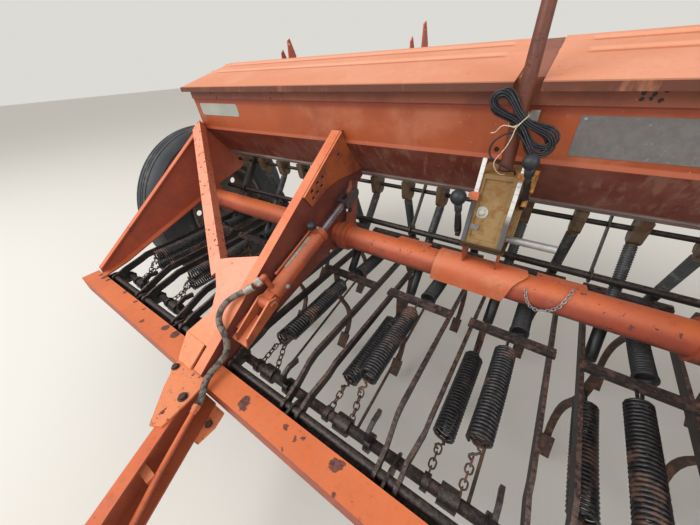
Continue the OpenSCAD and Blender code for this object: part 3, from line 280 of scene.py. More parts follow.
strutPaint = agedPaint("strut_paint", {
    **basePaint, "top": "#ec977b", "topTwo": "#e68d6d", "wall": "#b05630", "wallTwo": "#9c4a30",
    "footTint": "#d97f50", "stain": 0.15, "blotchFrom": 0.74,
    "pit": 58.0, "pitFrom": 0.6, "pitZone": 0.44})
platePaint = agedPaint("end_plate_paint", {
    **basePaint, "top": "#d97652", "topTwo": "#c8653f", "wall": "#a54f38", "wallTwo": "#964a37",
    "stain": 0.3, "stainTint": "#b0583a", "pitFrom": 0.72})
drawbarPaint = agedPaint("drawbar_paint", {
    **basePaint, "top": "#d0693c", "topTwo": "#c55f36", "wall": "#a04f34", "wallTwo": "#8d4530",
    "lowTint": "#94492f", "pitFrom": 0.66, "blotch": 11.0, "blotchFrom": 0.68})
tubePaint = agedPaint("tube_paint", {
    **basePaint, "top": "#cc6a38", "topTwo": "#bd603c", "wall": "#a44c34", "wallTwo": "#964733",
    "under": "#6a382c", "stain": 0.5, "stainTint": "#a95c46", "streak": 0.4,
    "streakTint": "#cf5a28", "blotch": 14.0, "blotchFrom": 0.66, "pit": 42.0, "pitFrom": 0.64,
    "pitZone": 0.44})
guardPaint = agedPaint("guard_paint", {
    **basePaint, "top": "#cb6d45", "topTwo": "#c47551", "wall": "#c05f3b", "wallTwo": "#bd6c49",
    "stain": 0.3, "stainTint": "#d99a78", "streak": 0.35, "pitFrom": 0.7, "blotchFrom": 0.76})
barrelPaint = agedPaint("barrel_paint", {
    **basePaint, "top": "#be5d33", "topTwo": "#af5f40", "wall": "#a54c2b", "wallTwo": "#914530",
    "stain": 0.3, "blotchFrom": 0.72})
leverPaint = agedPaint("lever_paint", {
    **basePaint, "top": "#b26440", "topTwo": "#985138", "wall": "#944a30", "wallTwo": "#7b3f30",
    "stain": 0.4, "stainTint": "#4d3029", "blotch": 18.0, "blotchFrom": 0.62})
polePaint = agedPaint("pole_paint", {
    **basePaint, "top": "#6e3b28", "topTwo": "#623425", "wall": "#65321e", "wallTwo": "#532b1f",
    "stain": 0.5, "stainTint": "#5f3a30", "pit": 70.0, "pitFrom": 0.6, "pitZone": 0.3})
lidPaint = agedPaint("lid_paint", {
    **basePaint, "top": "#d89071", "topTwo": "#d38460", "wall": "#9a4c2f", "wallTwo": "#8d452e",
    "under": "#6b3626", "stain": 0.14, "stainTint": "#cb7452", "streakTint": "#f0a176",
    "creases": (0.014, 0.124), "patch": 2.0, "grain": 0.15,
    "pit": 30.0, "pitFrom": 0.72, "blotch": 9.0, "blotchFrom": 0.735})


def hopperFinish():
    # folded sheet: orange above the crease, darker below it with painted shade and dirt, and
    # scratched
    s = Shader("hopper_paint")
    height = s.axis("Z")
    broad = s.noise(1.3, 5, 0.6)
    cloud = s.noise(3.7, 5, 0.62)
    streaks = s.noise(10.0, 5, 0.6, s.scaled(1.0, 1.0, 0.12))
    fine = s.noise(80.0, 5, 0.7)
    colour = s.mix(s.step(broad, 0.4, 0.6), "#a64f26", "#92401d")
    colour = s.mix(s.step(cloud, 0.46, 0.66) * 0.7, colour, "#b0694a")
    colour = s.mix(s.step(streaks, 0.52, 0.74) * 0.45, colour, "#7a3d2a")
    strip = s.band(height, 1.211, 1.214, 1.228, 1.234)
    colour = s.mix(strip * 0.65, colour, "#bd6a50")
    # painted shade on the strip just under the band
    under = s.step(height, 1.35, 1.375)
    colour = s.mix(under * 0.75, colour, "#7d2a12")
    band = s.step(height, 1.384, 1.386)
    bandColour = s.mix(s.step(cloud, 0.42, 0.6), "#7a3c2c", "#8d4c33")
    colour = s.mix(band, colour, bandColour)
    # below the crease the paint is darker: painted shade and dirt, with scratches
    low = s.step(height, 1.216, 1.211)
    dull = s.mix(s.step(cloud, 0.38, 0.62), "#702e1c", "#875145")
    scratch = s.noise(34.0, 3, 0.6, s.scaled(1.0, 0.5, 0.1, turn=(0, 0.62, 0)))
    where = s.step(broad, 0.42, 0.56) * 0.45 + 0.15
    dull = s.mix(s.step(scratch, 0.5, 0.66) * where, dull, "#a07a6a")
    colour = s.mix(low, colour, dull)
    # lighter grey lip along the bottom edge: dust with a painted highlight
    lip = s.step(height, 1.051, 1.048)
    colour = s.mix(lip * 0.9, colour, s.mix(s.step(cloud, 0.4, 0.6), "#aa9c98", "#8d807c"))
    rust = s.step(s.noise(8.0, 7, 0.66), 0.665, 0.68)
    colour = s.mix(rust * 0.9, colour, s.mix(fine, "#3a2019", "#6b3b28"))
    # near-black spots as painted shade inside open holes on the band and one on the panel
    onBand = ((0.261, 1.417, 0.006), (0.282, 1.414, 0.006), (0.303, 1.421, 0.005),
              (0.262, 1.403, 0.006), (0.279, 1.404, 0.005), (0.299, 1.4, 0.006),
              (0.311, 1.433, 0.005), (-1.612, 1.415, 0.008), (-1.567, 1.392, 0.007),
              (-1.109, 1.42, 0.007), (-1.119, 1.392, 0.006))
    shadedHoleSpots = [(x, -0.157, z, size) for x, z, size in onBand] + [(-0.051, -0.138, 1.247, 0.009)]
    shadedHoles = s.spots(shadedHoleSpots, 0.01)
    colour = s.mix(shadedHoles, colour, "#1a1210")
    chip = s.step(s.noise(90.0, 3, 0.6), 0.7, 0.73)
    colour = s.mix(chip * 0.6, colour, "#c99a80")
    rough = 0.4 + fine * 0.16 + rust * 0.3
    return s.finish(colour, rough, 0.0, fine * 0.3 + broad * 0.8 - rust * 0.5, 0.0015, 0.5)


hopperPaint = hopperFinish()


def dirtyMetal(name, look):
    s = Shader(name)
    broad = s.noise(look["patch"], 5, 0.62)
    fine = s.noise(90.0, 5, 0.7)
    colour = s.mix(s.step(broad, 0.38, 0.62), look["main"], look["second"])
    patch = s.above(s.noise(look["patch"] * 3.1, 6, 0.62), look["from"], 0.09)
    colour = s.mix(patch * look["amount"], colour, s.mix(fine, look["rust"], look["rustTwo"]))
    # lighter patches on up-facing faces: dust, and a painted highlight along the top edges
    up = s.step(s.axis("Z", "Normal"), 0.1, 0.9)
    colour = s.mix(up * s.step(fine, 0.4, 0.62) * look["dust"], colour, look["dustAndSheenTint"])
    if "greasy" in look:  # one end is dark with grease
        direction, low, high, code = look["greasy"]
        dark = s.step(s.axis(direction) + broad * 0.02, low, high)
        grease = s.mix(s.step(fine, 0.45, 0.65), code, "#4a3128")
        colour = s.mix(dark * 0.9, colour, grease)
        patch = patch.high(dark)
    rough = look["rough"] + fine * 0.2 + patch * 0.15
    metal = look["metal"] * (1.0 - patch * 0.8)
    return s.finish(colour, rough, metal, fine + patch * 0.6, look["depth"], 0.7)


baseMetal = {"patch": 6.0, "from": 0.6, "amount": 0.5, "dust": 0.3, "rough": 0.45,
             "metal": 0.1, "depth": 0.0014}
greasySteel = dirtyMetal("greasy_steel", {
    **baseMetal, "main": "#1b1817", "second": "#272120", "rust": "#3f2b24",
    "rustTwo": "#5f443a", "from": 0.58, "amount": 0.7, "dust": 0.5, "dustAndSheenTint": "#5e5049",
    "rough": 0.38, "metal": 0.2, "depth": 0.0012})
barSteel = dirtyMetal("bar_steel", {
    **baseMetal, "main": "#191616", "second": "#262121", "rust": "#3f2a24",
    "rustTwo": "#5f4135", "patch": 5.0, "from": 0.56, "amount": 0.6, "dust": 0.75,
    "dustAndSheenTint": "#6b5148", "rough": 0.42, "metal": 0.2, "depth": 0.0016})
flakedSteel = dirtyMetal("flaked_steel", {
    **baseMetal, "main": "#1c1818", "second": "#2b2321", "rust": "#41302c",
    "rustTwo": "#6d5350", "patch": 9.0, "from": 0.5, "amount": 0.7, "dust": 0.25,
    "dustAndSheenTint": "#6b5654", "rough": 0.6, "depth": 0.003})
dullSpring = dirtyMetal("dull_spring", {
    **baseMetal, "main": "#1c1c1e", "second": "#29292b", "rust": "#3a2a24",
    "rustTwo": "#564036", "patch": 3.2, "amount": 0.6, "dust": 0.25, "dustAndSheenTint": "#5f5d5c",
    "metal": 0.2, "depth": 0.0006})
fittingSteel = dirtyMetal("fitting_steel", {
    **baseMetal, "main": "#b9b5ad", "second": "#9d978e", "rust": "#6b5a4b",
    "rustTwo": "#a88d6c", "patch": 26.0, "from": 0.52, "amount": 0.6, "dust": 0.2,
    "dustAndSheenTint": "#d8d2c6", "rough": 0.38, "metal": 0.45, "depth": 0.0006})
springSteel = dirtyMetal("spring_steel", {
    **baseMetal, "main": "#1f1f22", "second": "#2a2a2e", "rust": "#46312a",
    "rustTwo": "#70503f", "patch": 3.2, "from": 0.54, "amount": 0.8, "dust": 0.25,
    "dustAndSheenTint": "#6f6a68", "rough": 0.3, "metal": 0.35, "depth": 0.0006})
rustySteel = dirtyMetal("rusty_steel", {
    **baseMetal, "main": "#2c1f1b", "second": "#3b2822", "rust": "#573526",
    "rustTwo": "#744a34", "patch": 7.0, "from": 0.5, "amount": 0.75, "dustAndSheenTint": "#776558",
    "rough": 0.55})
ochreCasting = dirtyMetal("ochre_casting", {
    **baseMetal, "main": "#7d5c2f", "second": "#8d7044", "rust": "#4a3016",
    "rustTwo": "#9a6a26", "patch": 8.0, "from": 0.48, "amount": 0.75, "dustAndSheenTint": "#a08a66",
    "greasy": ("Z", 1.012, 0.972, "#2f2415")})
rustyOchre = dirtyMetal("rusty_ochre", {
    **baseMetal, "main": "#93602a", "second": "#a87638", "rust": "#5a3418",
    "rustTwo": "#8a5226", "patch": 30.0, "from": 0.5, "amount": 0.75, "dustAndSheenTint": "#c09a68",
    "rough": 0.55})
cupCasting = dirtyMetal("cup_casting", {
    **baseMetal, "main": "#5f4e3c", "second": "#6c5c4a", "rust": "#3d2a1b",
    "rustTwo": "#5b4025", "patch": 9.0, "from": 0.48, "amount": 0.8, "dustAndSheenTint": "#8c7a5e",
    "rough": 0.5})
brightSteel = dirtyMetal("bright_steel", {
    **baseMetal, "main": "#a4a4a4", "second": "#bcbcba", "rust": "#6b5a4b",
    "rustTwo": "#8c7864", "patch": 12.0, "dust": 0.1, "dustAndSheenTint": "#c5c1b8", "rough": 0.32,
    "metal": 0.6, "depth": 0.0004})
chromeRod = dirtyMetal("chrome_rod", {
    **baseMetal, "main": "#8a848c", "second": "#a39ea8", "rust": "#4b4642",
    "rustTwo": "#6d675f", "patch": 14.0, "from": 0.66, "dust": 0.05, "dustAndSheenTint": "#d0d0d0",
    "rough": 0.16, "metal": 0.85, "depth": 0.0002,
    "greasy": ("Y", rowLineY - 0.272, rowLineY - 0.262, "#1b1819")})
rimPaint = dirtyMetal("rim_paint", {
    **baseMetal, "main": "#6b6259", "second": "#5a5048", "rust": "#4a3325",
    "rustTwo": "#6d4c37", "from": 0.56, "amount": 0.8, "dust": 0.4, "dustAndSheenTint": "#a3998c",
    "rough": 0.5, "metal": 0.0, "depth": 0.0012})
palePlate = dirtyMetal("pale_plate", {
    **baseMetal, "main": "#a9aba4", "second": "#9fa199", "rust": "#8b8a80",
    "rustTwo": "#c9c9c2", "dust": 0.0, "dustAndSheenTint": "#b0b0b0", "depth": 0.0003})
plateSteel = dirtyMetal("blank_plate", {
    **baseMetal, "main": "#75736f", "second": "#6c6a6b", "rust": "#8d8f8c",
    "rustTwo": "#b5b5ae", "patch": 40.0, "from": 0.62, "dust": 0.0, "dustAndSheenTint": "#909090",
    "rough": 0.36, "metal": 0.25, "depth": 0.0003})


def scaleFinish():
    # plated bars, worn grey below the clamps, with fine marks across
    s = Shader("scale_steel")
    height, fine = s.axis("Z"), s.noise(70.0, 4, 0.7)
    side = s.step(s.axis("X"), -0.01, 0.01)
    high = s.mix(side, s.step(height, 1.128, 1.134), s.step(height, 1.06, 1.11))
    colour = s.mix(high, "#55545a", "#cfccc8")
    marks = s.step(s.add("ShaderNodeTexWave", {"bands_direction": "Z"}, {
        "Vector": s.point(), "Scale": 14.0, "Distortion": 0.3}), 0.95, 0.99)
    colour = s.mix(marks * s.step(s.axis("X"), -0.059, -0.058) * 0.3, colour, "#4a4848")
    colour = s.mix(s.step(fine, 0.58, 0.7) * 0.6, colour, "#6d5f52")
    return s.finish(colour, 0.4 + fine * 0.2, 0.3, fine, 0.0003, 0.5)


scaleSteel = scaleFinish()


def rubber(name, look):
    s = Shader(name)
    broad = s.noise(look["patch"], 4, 0.6)
    fine = s.noise(140.0, 4, 0.7)
    colour = s.mix(s.step(broad, 0.35, 0.7), look["main"], look["second"])
    mud = s.above(s.noise(look["patch"] * 3, 6, 0.62), look["from"], 0.1)
    colour = s.mix(mud * look["amount"], colour, look["dust"])
    return s.finish(colour, look["rough"] + fine * 0.15, 0.0, fine + mud, look["depth"], 0.6)


tubeRubber = rubber("tube_rubber", {
    "main": "#3a3b3d", "second": "#4c4d4f", "dust": "#77746d", "amount": 0.5,
    "patch": 8.0, "from": 0.55, "rough": 0.42, "depth": 0.0005})
bootRubber = rubber("boot_rubber", {
    "main": "#151516", "second": "#222223", "dust": "#47433f", "amount": 0.5,
    "patch": 8.0, "from": 0.58, "rough": 0.4, "depth": 0.0008})
tyreRubber = rubber("tyre_rubber", {
    "main": "#2f3236", "second": "#3d4146", "dust": "#6d675f", "amount": 0.45,
    "patch": 3.5, "from": 0.56, "rough": 0.62, "depth": 0.0014})
hoseRubber = rubber("hose_rubber", {
    "main": "#2a2826", "second": "#453f3b", "dust": "#7b6f64", "amount": 0.8,
    "patch": 14.0, "from": 0.42, "rough": 0.55, "depth": 0.0008})
cableBlack = rubber("cable_black", {
    "main": "#15171c", "second": "#20242b", "dust": "#4d535c", "amount": 0.4,
    "patch": 20.0, "from": 0.58, "rough": 0.3, "depth": 0.0002})
knobRubber = rubber("knob_plastic", {
    "main": "#1d2026", "second": "#282c33", "dust": "#494d54", "amount": 0.35,
    "patch": 18.0, "from": 0.55, "rough": 0.42, "depth": 0.0004})


def twineFinish():
    s = Shader("twine_fibre")
    twist = s.noise(900.0, 3, 0.6, s.scaled(1.0, 1.0, 0.5))
    colour = s.mix(s.step(twist, 0.35, 0.65), "#a48a70", "#e6d3bd")
    return s.finish(colour, 0.8, 0.0, twist, 0.0006, 0.8)


twineFibre = twineFinish()

nodePaints = {
    railPaint: ["front_rail", "drawbar_gussets", "hitch_plates"],
    armPaint: ["arm_left", "arm_right", "cylinder_bracket"],
    strutPaint: ["strut_left", "strut_right"],
    platePaint: ["end_plate_left", "end_plate_right", "rear_brackets", "crank_left", "crank_right"],
    drawbarPaint: ["drawbar_left", "drawbar_right", "jack_sleeve", "hydraulic_pipe"],
    tubePaint: ["rockshaft_tube", "rockshaft_ends"],
    barrelPaint: ["cylinder_barrel"],
    leverPaint: ["lift_lever"],
    polePaint: ["centre_pole"],
    hopperPaint: ["hopper"],
    lidPaint: ["lid_left", "lid_right"],
    ochreCasting: ["gearbox_housing"],
    cupCasting: ["seed_cups"],
    greasySteel: ["feed_shaft", "cross_shaft", "shaft_hangers", "rail_brackets", "hinge_shaft",
                  "hinge_angle", "tension_levers"],
    barSteel: ["drag_bars"],
    flakedSteel: ["cross_bars", "tension_shaft"],
    rustySteel: ["front_tines", "rear_tines", "spring_rods"],
    rimPaint: ["rim_left", "rim_right"],
    brightSteel: ["jack_leg", "gearbox_shaft"],
    chromeRod: ["cylinder_rod"],
}
for paint, names in nodePaints.items():
    for name in names:
        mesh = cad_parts[name].data
        mesh.materials.clear()
        mesh.materials.append(paint)
print("stage: materials")


def settle(name, mesh, paint, body, smooth=True):
    # a finished mesh becomes a piece that rides on its body
    mesh.materials.clear()
    mesh.materials.append(paint)
    for face in mesh.polygons:
        face.use_smooth = smooth
    piece = newObject(name, mesh)
    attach(piece, body)
    return piece


def meshOf(name, bm):
    bmesh.ops.recalc_face_normals(bm, faces=bm.faces)
    mesh = bpy.data.meshes.new(name)
    bm.to_mesh(mesh)
    bm.free()
    return mesh


def pathMesh(name, lines):
    # polylines as loose edges, the input of the trees below
    points, edges = [], []
    for line in lines:
        first = len(points)
        points += [tuple(p) for p in line]
        edges += [(first + i, first + i + 1) for i in range(len(line) - 1)]
    mesh = bpy.data.meshes.new(name)
    mesh.from_pydata(points, edges, [])
    return mesh


def spotMesh(name, spots):
    # points with an aim, a size and a turn about the aim
    mesh = bpy.data.meshes.new(name)
    mesh.from_pydata([tuple(s[0]) for s in spots], [], [])
    columns = {"size": [spot[2] for spot in spots],
               "turn": [spot[3] if len(spot) > 3 else 0.7 * i for i, spot in enumerate(spots)]}
    for axis, label in enumerate(("aimX", "aimY", "aimZ")):
        columns[label] = [Vector(spot[1]).normalized()[axis] for spot in spots]
    for label, values in columns.items():
        mesh.attributes.new(label, "FLOAT", "POINT").data.foreach_set("value", values)
    return mesh


class Grower(NodeMaker):
    # one Geometry Nodes tree
    kinds = {"Geometry": "NodeSocketGeometry", "Finish": "NodeSocketMaterial",
             "Sides": "NodeSocketInt"}

    def __init__(self, name, inputs):
        self.tree = bpy.data.node_groups.new(name, "GeometryNodeTree")
        for label in ["Geometry", *inputs, "Finish"]:
            kind = self.kinds.get(label, "NodeSocketFloat")
            socket = self.tree.interface.new_socket(label, in_out="INPUT", socket_type=kind)
            if label in inputs:
                socket.default_value = inputs[label]
        self.tree.interface.new_socket(
            "Geometry", in_out="OUTPUT", socket_type="NodeSocketGeometry")
        self.inputs = self.make("NodeGroupInput").outputs
        self.end = self.make("NodeGroupOutput")

    def add(self, kind, settings=None, values=None):
        return self.make(kind, settings, values).outputs[0]

    def maths(self, operation, first, second):
        return self.add("ShaderNodeMath", {"operation": operation}, {0: first, 1: second})

    def attribute(self, name):
        return self.add("GeometryNodeInputNamedAttribute", {"data_type": "FLOAT"}, {"Name": name})

    def close(self, geometry):
        real = self.add("GeometryNodeRealizeInstances", {}, {"Geometry": geometry})
        done = self.add("GeometryNodeSetMaterial", {}, {
            "Geometry": real, "Material": self.inputs["Finish"]})
        self.tree.links.new(done, self.end.inputs["Geometry"])

    def grow(self, name, source, paint, body, slot, values=None, smooth=True):
        carrier = newObject(name + "_source", source)
        modifier = carrier.modifiers.new("grow", "NODES")
        modifier.node_group = self.tree
        for item in self.tree.interface.items_tree:
            if item.item_type == "SOCKET" and item.in_out == "INPUT":
                if item.name == "Finish":
                    modifier[item.identifier] = paint
                elif item.name in (values or {}):
                    modifier[item.identifier] = values[item.name]
        ready = carrier.evaluated_get(bpy.context.evaluated_depsgraph_get())
        mesh = bpy.data.meshes.new_from_object(ready)
        mesh.name = name
        carrier.modifiers.clear()
        bpy.data.objects.remove(carrier)
        return settle(name, mesh, paint, body, smooth)


def wireTree():
    # round wire along each line
    g = Grower("round wire", {"Radius": 0.005, "Sides": 6})
    curve = g.add("GeometryNodeMeshToCurve", {}, {"Mesh": g.inputs["Geometry"]})
    ring = g.add("GeometryNodeCurvePrimitiveCircle", {}, {
        "Resolution": g.inputs["Sides"], "Radius": g.inputs["Radius"]})
    g.close(g.add("GeometryNodeCurveToMesh", {}, {
        "Curve": curve, "Profile Curve": ring, "Fill Caps": True}))
    return g


def chainTree():
    # links along each line, every other one turned a quarter
    g = Grower("chain links", {"Pitch": 0.02, "Width": 0.02, "Wire": 0.0025})
    curve = g.add("GeometryNodeMeshToCurve", {}, {"Mesh": g.inputs["Geometry"]})
    spots = g.add("GeometryNodeCurveToPoints", {"mode": "LENGTH"}, {
        "Curve": curve, "Length": g.inputs["Pitch"]})
    length = g.maths("ADD", g.inputs["Pitch"], g.maths("MULTIPLY", g.inputs["Wire"], 3.2))
    flat = g.add("GeometryNodeCurvePrimitiveQuadrilateral", {"mode": "RECTANGLE"}, {
        "Width": g.inputs["Width"], "Height": length})
    rounded = g.add("GeometryNodeFilletCurve", {"mode": "POLY"}, {
        "Curve": flat, "Count": 4, "Radius": g.maths("MULTIPLY", g.inputs["Width"], 0.49)})
    ring = g.add("GeometryNodeCurvePrimitiveCircle", {}, {
        "Resolution": 6, "Radius": g.inputs["Wire"]})
    link = g.add("GeometryNodeCurveToMesh", {}, {"Curve": rounded, "Profile Curve": ring})
    link = g.add("GeometryNodeTransform", {}, {"Geometry": link, "Rotation": (math.pi / 2, 0, 0)})
    odd = g.maths("MODULO", g.add("GeometryNodeInputIndex"), 2.0)
    spin = g.add("ShaderNodeCombineXYZ", {}, {"Z": g.maths("MULTIPLY", odd, math.pi / 2)})
    aim = g.add("FunctionNodeRotateRotation", {"rotation_space": "LOCAL"}, {
        "Rotation": spots.node.outputs["Rotation"], "Rotate By": spin})
    g.close(g.add("GeometryNodeInstanceOnPoints", {}, {
        "Points": spots, "Instance": link, "Rotation": aim}))
    return g


def ribTree():
    # ribbed hose: rings along each line over a plain tube
    g = Grower("ribbed hose", {"Pitch": 0.009, "Radius": 0.019, "Rib": 0.0024})
    curve = g.add("GeometryNodeMeshToCurve", {}, {"Mesh": g.inputs["Geometry"]})
    circle = "GeometryNodeCurvePrimitiveCircle"
    core = g.add(circle, {}, {"Resolution": 16, "Radius": g.inputs["Radius"]})
    tube = g.add("GeometryNodeCurveToMesh", {}, {"Curve": curve, "Profile Curve": core})
    spots = g.add("GeometryNodeCurveToPoints", {"mode": "LENGTH"}, {
        "Curve": curve, "Length": g.inputs["Pitch"]})
    small = g.add(circle, {}, {"Resolution": 4, "Radius": g.inputs["Rib"]})
    rib = g.add("GeometryNodeCurveToMesh", {}, {"Curve": core, "Profile Curve": small})
    ribs = g.add("GeometryNodeInstanceOnPoints", {}, {
        "Points": spots, "Instance": rib, "Rotation": spots.node.outputs["Rotation"]})
    g.close(g.add("GeometryNodeJoinGeometry", {}, {"Geometry": [tube, ribs]}))
    return g


def boltTree():
    # hexagon head with a chamfer on a round washer, sized across its flats
    g = Grower("hexagon bolts", {"Height": 0.32, "Washer": 0.66})
    spots = g.add("GeometryNodeMeshToPoints", {}, {"Mesh": g.inputs["Geometry"]})
    low = g.add("GeometryNodeMeshCone", {}, {
        "Vertices": 6, "Radius Bottom": 0.5, "Radius Top": 0.5, "Depth": g.inputs["Height"]})
    low = g.add("GeometryNodeTransform", {}, {"Geometry": low, "Translation": (0, 0, 0.08)})
    top = g.add("GeometryNodeMeshCone", {}, {
        "Vertices": 12, "Radius Bottom": 0.47, "Radius Top": 0.36, "Depth": 0.09})
    lift = g.add("ShaderNodeCombineXYZ", {}, {"Z": g.maths("ADD", g.inputs["Height"], 0.06)})
    top = g.add("GeometryNodeTransform", {}, {"Geometry": top, "Translation": lift})
    washer = g.add("GeometryNodeMeshCylinder", {}, {
        "Vertices": 16, "Radius": g.inputs["Washer"], "Depth": 0.1})
    washer = g.add("GeometryNodeTransform", {}, {"Geometry": washer, "Translation": (0, 0, 0.05)})
    head = g.add("GeometryNodeJoinGeometry", {}, {"Geometry": [low, top, washer]})
    aims = {axis: g.attribute("aim" + axis) for axis in "XYZ"}
    aim = g.add("FunctionNodeAlignRotationToVector", {"axis": "Z"}, {
        "Vector": g.add("ShaderNodeCombineXYZ", {}, aims)})
    spin = g.add("ShaderNodeCombineXYZ", {}, {"Z": g.attribute("turn")})
    turned = g.add("FunctionNodeRotateRotation", {"rotation_space": "LOCAL"}, {
        "Rotation": aim, "Rotate By": spin})
    g.close(g.add("GeometryNodeInstanceOnPoints", {}, {
        "Points": spots, "Instance": head, "Rotation": turned, "Scale": g.attribute("size")}))
    return g


wires, chains, ribs, bolts = wireTree(), chainTree(), ribTree(), boltTree()
print("stage: trees")


def cordCurve(name, points, radius, paint, body):
    # a cord as a curve of one open spline
    data = bpy.data.curves.new(name, "CURVE")
    data.dimensions = "3D"
    data.bevel_depth = radius
    data.bevel_resolution = 3
    data.use_fill_caps = True
    data.resolution_u = 6
    spline = data.splines.new("BEZIER")
    spline.bezier_points.add(len(points) - 1)
    for knot, point in zip(spline.bezier_points, points):
        knot.co = point
        knot.handle_left_type = knot.handle_right_type = "AUTO"
    data.materials.append(paint)
    piece = newObject(name, data)
    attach(piece, body)
    return piece


def curveLength(piece):
    # length of the spline, read after the curve has been evaluated and its handles are set
    mesh = bpy.data.meshes.new_from_object(piece, depsgraph=bpy.context.evaluated_depsgraph_get())
    bpy.data.meshes.remove(mesh)
    return sum(s.calc_length() for s in piece.data.splines)


# hydraulic hose from the barrel's elbow to the pipe on the drawbar
hose = {
    "radius": 0.012,
    "points": [
        (-0.67, -0.806, 0.846), (-0.6728, -0.8126, 0.8425), (-0.702, -0.836, 0.825),
        (-0.737, -0.87, 0.804), (-0.745, -0.906, 0.789), (-0.739, -0.932, 0.773),
        (-0.727, -0.949, 0.758), (-0.686, -0.966, 0.73), (-0.671, -0.975, 0.702),
        (-0.662, -0.998, 0.668), (-0.667, -1.03, 0.645), (-0.667, -1.066, 0.635),
        (-0.656, -1.101, 0.625), (-0.644, -1.123, 0.612), (-0.6341, -1.146, 0.596),
        (-0.6281, -1.1597, 0.596)],
}
hosePoints = [place(*p) for p in hose["points"]]
hosePiece = cordCurve("hydraulic_hose_line", hosePoints, hose["radius"], hoseRubber,
                      "frame")
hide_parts("hydraulic_hose")


def revolve(bm, start, aim, profile, sides, slant=None):
    # rings about a line; slant tilts the named rings
    turn = aim.to_track_quat("Z", "Y").to_matrix()
    rings = []
    for n, (at, r) in enumerate(profile):
        ring = []
        for k in range(sides):
            a = 2 * math.pi * k / sides
            spread = turn @ Vector((r * math.cos(a), r * math.sin(a), 0))
            shift = at + (slant[1] * spread.dot(slant[2]) if slant and n in slant[0] else 0)
            ring.append(bm.verts.new(start + aim * shift + spread))
        rings.append(ring)
    for low, high in zip(rings, rings[1:]):
        for k in range(sides):
            bm.faces.new((low[k], low[(k + 1) % sides], high[(k + 1) % sides], high[k]))
    return rings


def closedRevolve(bm, start, aim, profile, sides, slant=None):
    rings = revolve(bm, start, aim, profile, sides, slant)
    bm.faces.new(rings[0])
    bm.faces.new(rings[-1])


def slab(bm, outline, depth):
    # plate from an outline of points, thickened by a vector
    top = [bm.verts.new(p) for p in outline]
    low = [bm.verts.new(p + depth) for p in outline]
    bm.faces.new(top)
    bm.faces.new(low)
    for k in range(len(outline)):
        j = (k + 1) % len(outline)
        bm.faces.new((low[k], low[j], top[j], top[k]))


def solid(name, paint, body, slabs=(), turned=(), smooth=False):
    # a piece made of flat plates and turned parts
    bm = bmesh.new()
    for outline, depth in slabs:
        slab(bm, outline, depth)
    for part in turned:
        closedRevolve(bm, *part)
    return settle(name, meshOf(name, bm), paint, body, smooth)


# pressed sleeve over the hose's first 40 mm
sleeve = {"ribs": 4, "pitch": 0.009, "rib": [(0.003, 0.0155), (0.008, 0.0155), (0.0095, 0.0145)],
          "start": [(0.0005, 0.01), (0.0005, 0.015)], "end": [(0.04, 0.0145), (0.04, 0.0124)],
          "sides": 18}


def hoseCrimp():
    profile = list(sleeve["start"])
    for i in range(sleeve["ribs"]):
        profile += [(at + sleeve["pitch"] * i, r) for at, r in sleeve["rib"]]
    profile += sleeve["end"]
    aim = (hosePoints[2] - hosePoints[0]).normalized()
    return solid("hose_crimp", fittingSteel, "frame", smooth=True,
                 turned=[(hosePoints[0], aim, profile, sleeve["sides"])])


crimp = hoseCrimp()
curveLength(hosePiece)

# cable hank at the pole: two lobes and a waist, in three layers of three nested turns
hank = {
    "middle": (0.015, -0.2433, 1.352),
    "lean": math.radians(40),
    "radius": 0.00275,
    "waist": (0.0145, 0.0087, 0.0029),
    "layer": (0.0063, 0.0088),
    "swell": {-1: 0.0148, 1: 0.0182},  # how much wider than the waist each lobe is
    "reach": {-1: 0.115, 1: 0.119},
    "step": 0.0061,
    "fan": {-1: (0.02, 0.09, -0.05), 1: (0.0, 0.17, -0.12)},
    "short": (0.0, 0.01, 0.004),
    "start": [(0.035, -0.24, 1.2005), (0.034, -0.2425, 1.209), (0.024, -0.248, 1.217),
              (0.008, -0.2525, 1.224), (-0.014, -0.256, 1.233), (-0.034, -0.2575, 1.244),
              (-0.047, -0.258, 1.258), (-0.051, -0.258, 1.276), (-0.045, -0.2575, 1.296),
              (-0.029, -0.256, 1.313), (-0.009, -0.2535, 1.3225), (0.012, -0.251, 1.322)],
    "tracks": [0, 1, 2, 2, 1, 0, 0, 1, 2],  # of the nine turns, three in each layer
    "end": [(-0.018, 0.006, 0.0045), (-0.034, 0.0085, 0.007), (-0.05, 0.01, 0.0085)],
}


def hankPoint(u, v, w):
    c, s = math.cos(hank["lean"]), math.sin(hank["lean"])
    x, y, z = hank["middle"]
    return place(x + u * c + v * s, y + w, z - u * s + v * c)


def between(values, at):
    low = min(int(at), len(values) - 2)
    return values[low] + (values[low + 1] - values[low]) * (at - low)


def lobe(side, first, second, layers):
    # round one lobe, the left one when side is -1, from the first track to the second
    points = []
    opening = [(0.34, 0.22), (0.68, 0.74), (1.0, 1.0)]
    count = len(opening) * 2 + 3
    for i in range(count):
        t = i / (count - 1)
        track = first + (second - first) * t
        layer = layers[0] + (layers[1] - layers[0]) * t
        waist = between(hank["waist"], track)
        bulge = waist + hank["swell"][side]
        reach = hank["reach"][side] - hank["step"] * track - between(hank["short"], layer)
        if 3 <= i <= 5:  # the round end
            a = math.radians(45 * (4 - i))
            u, v = reach - bulge * (1 - math.cos(a)), bulge * math.sin(a)
        else:
            along, part = opening[i] if i < 3 else opening[count - 1 - i]
            u = (reach - bulge) * along
            v = (waist + hank["swell"][side] * part) * (1 if i < 3 else -1)
        gap = hank["layer"][0] + (hank["layer"][1] - hank["layer"][0]) * u / reach
        fan = between(hank["fan"][side], layer) * u
        points.append(hankPoint(side * u, v * -side + side * fan, (layer - 1) * gap))
    return points


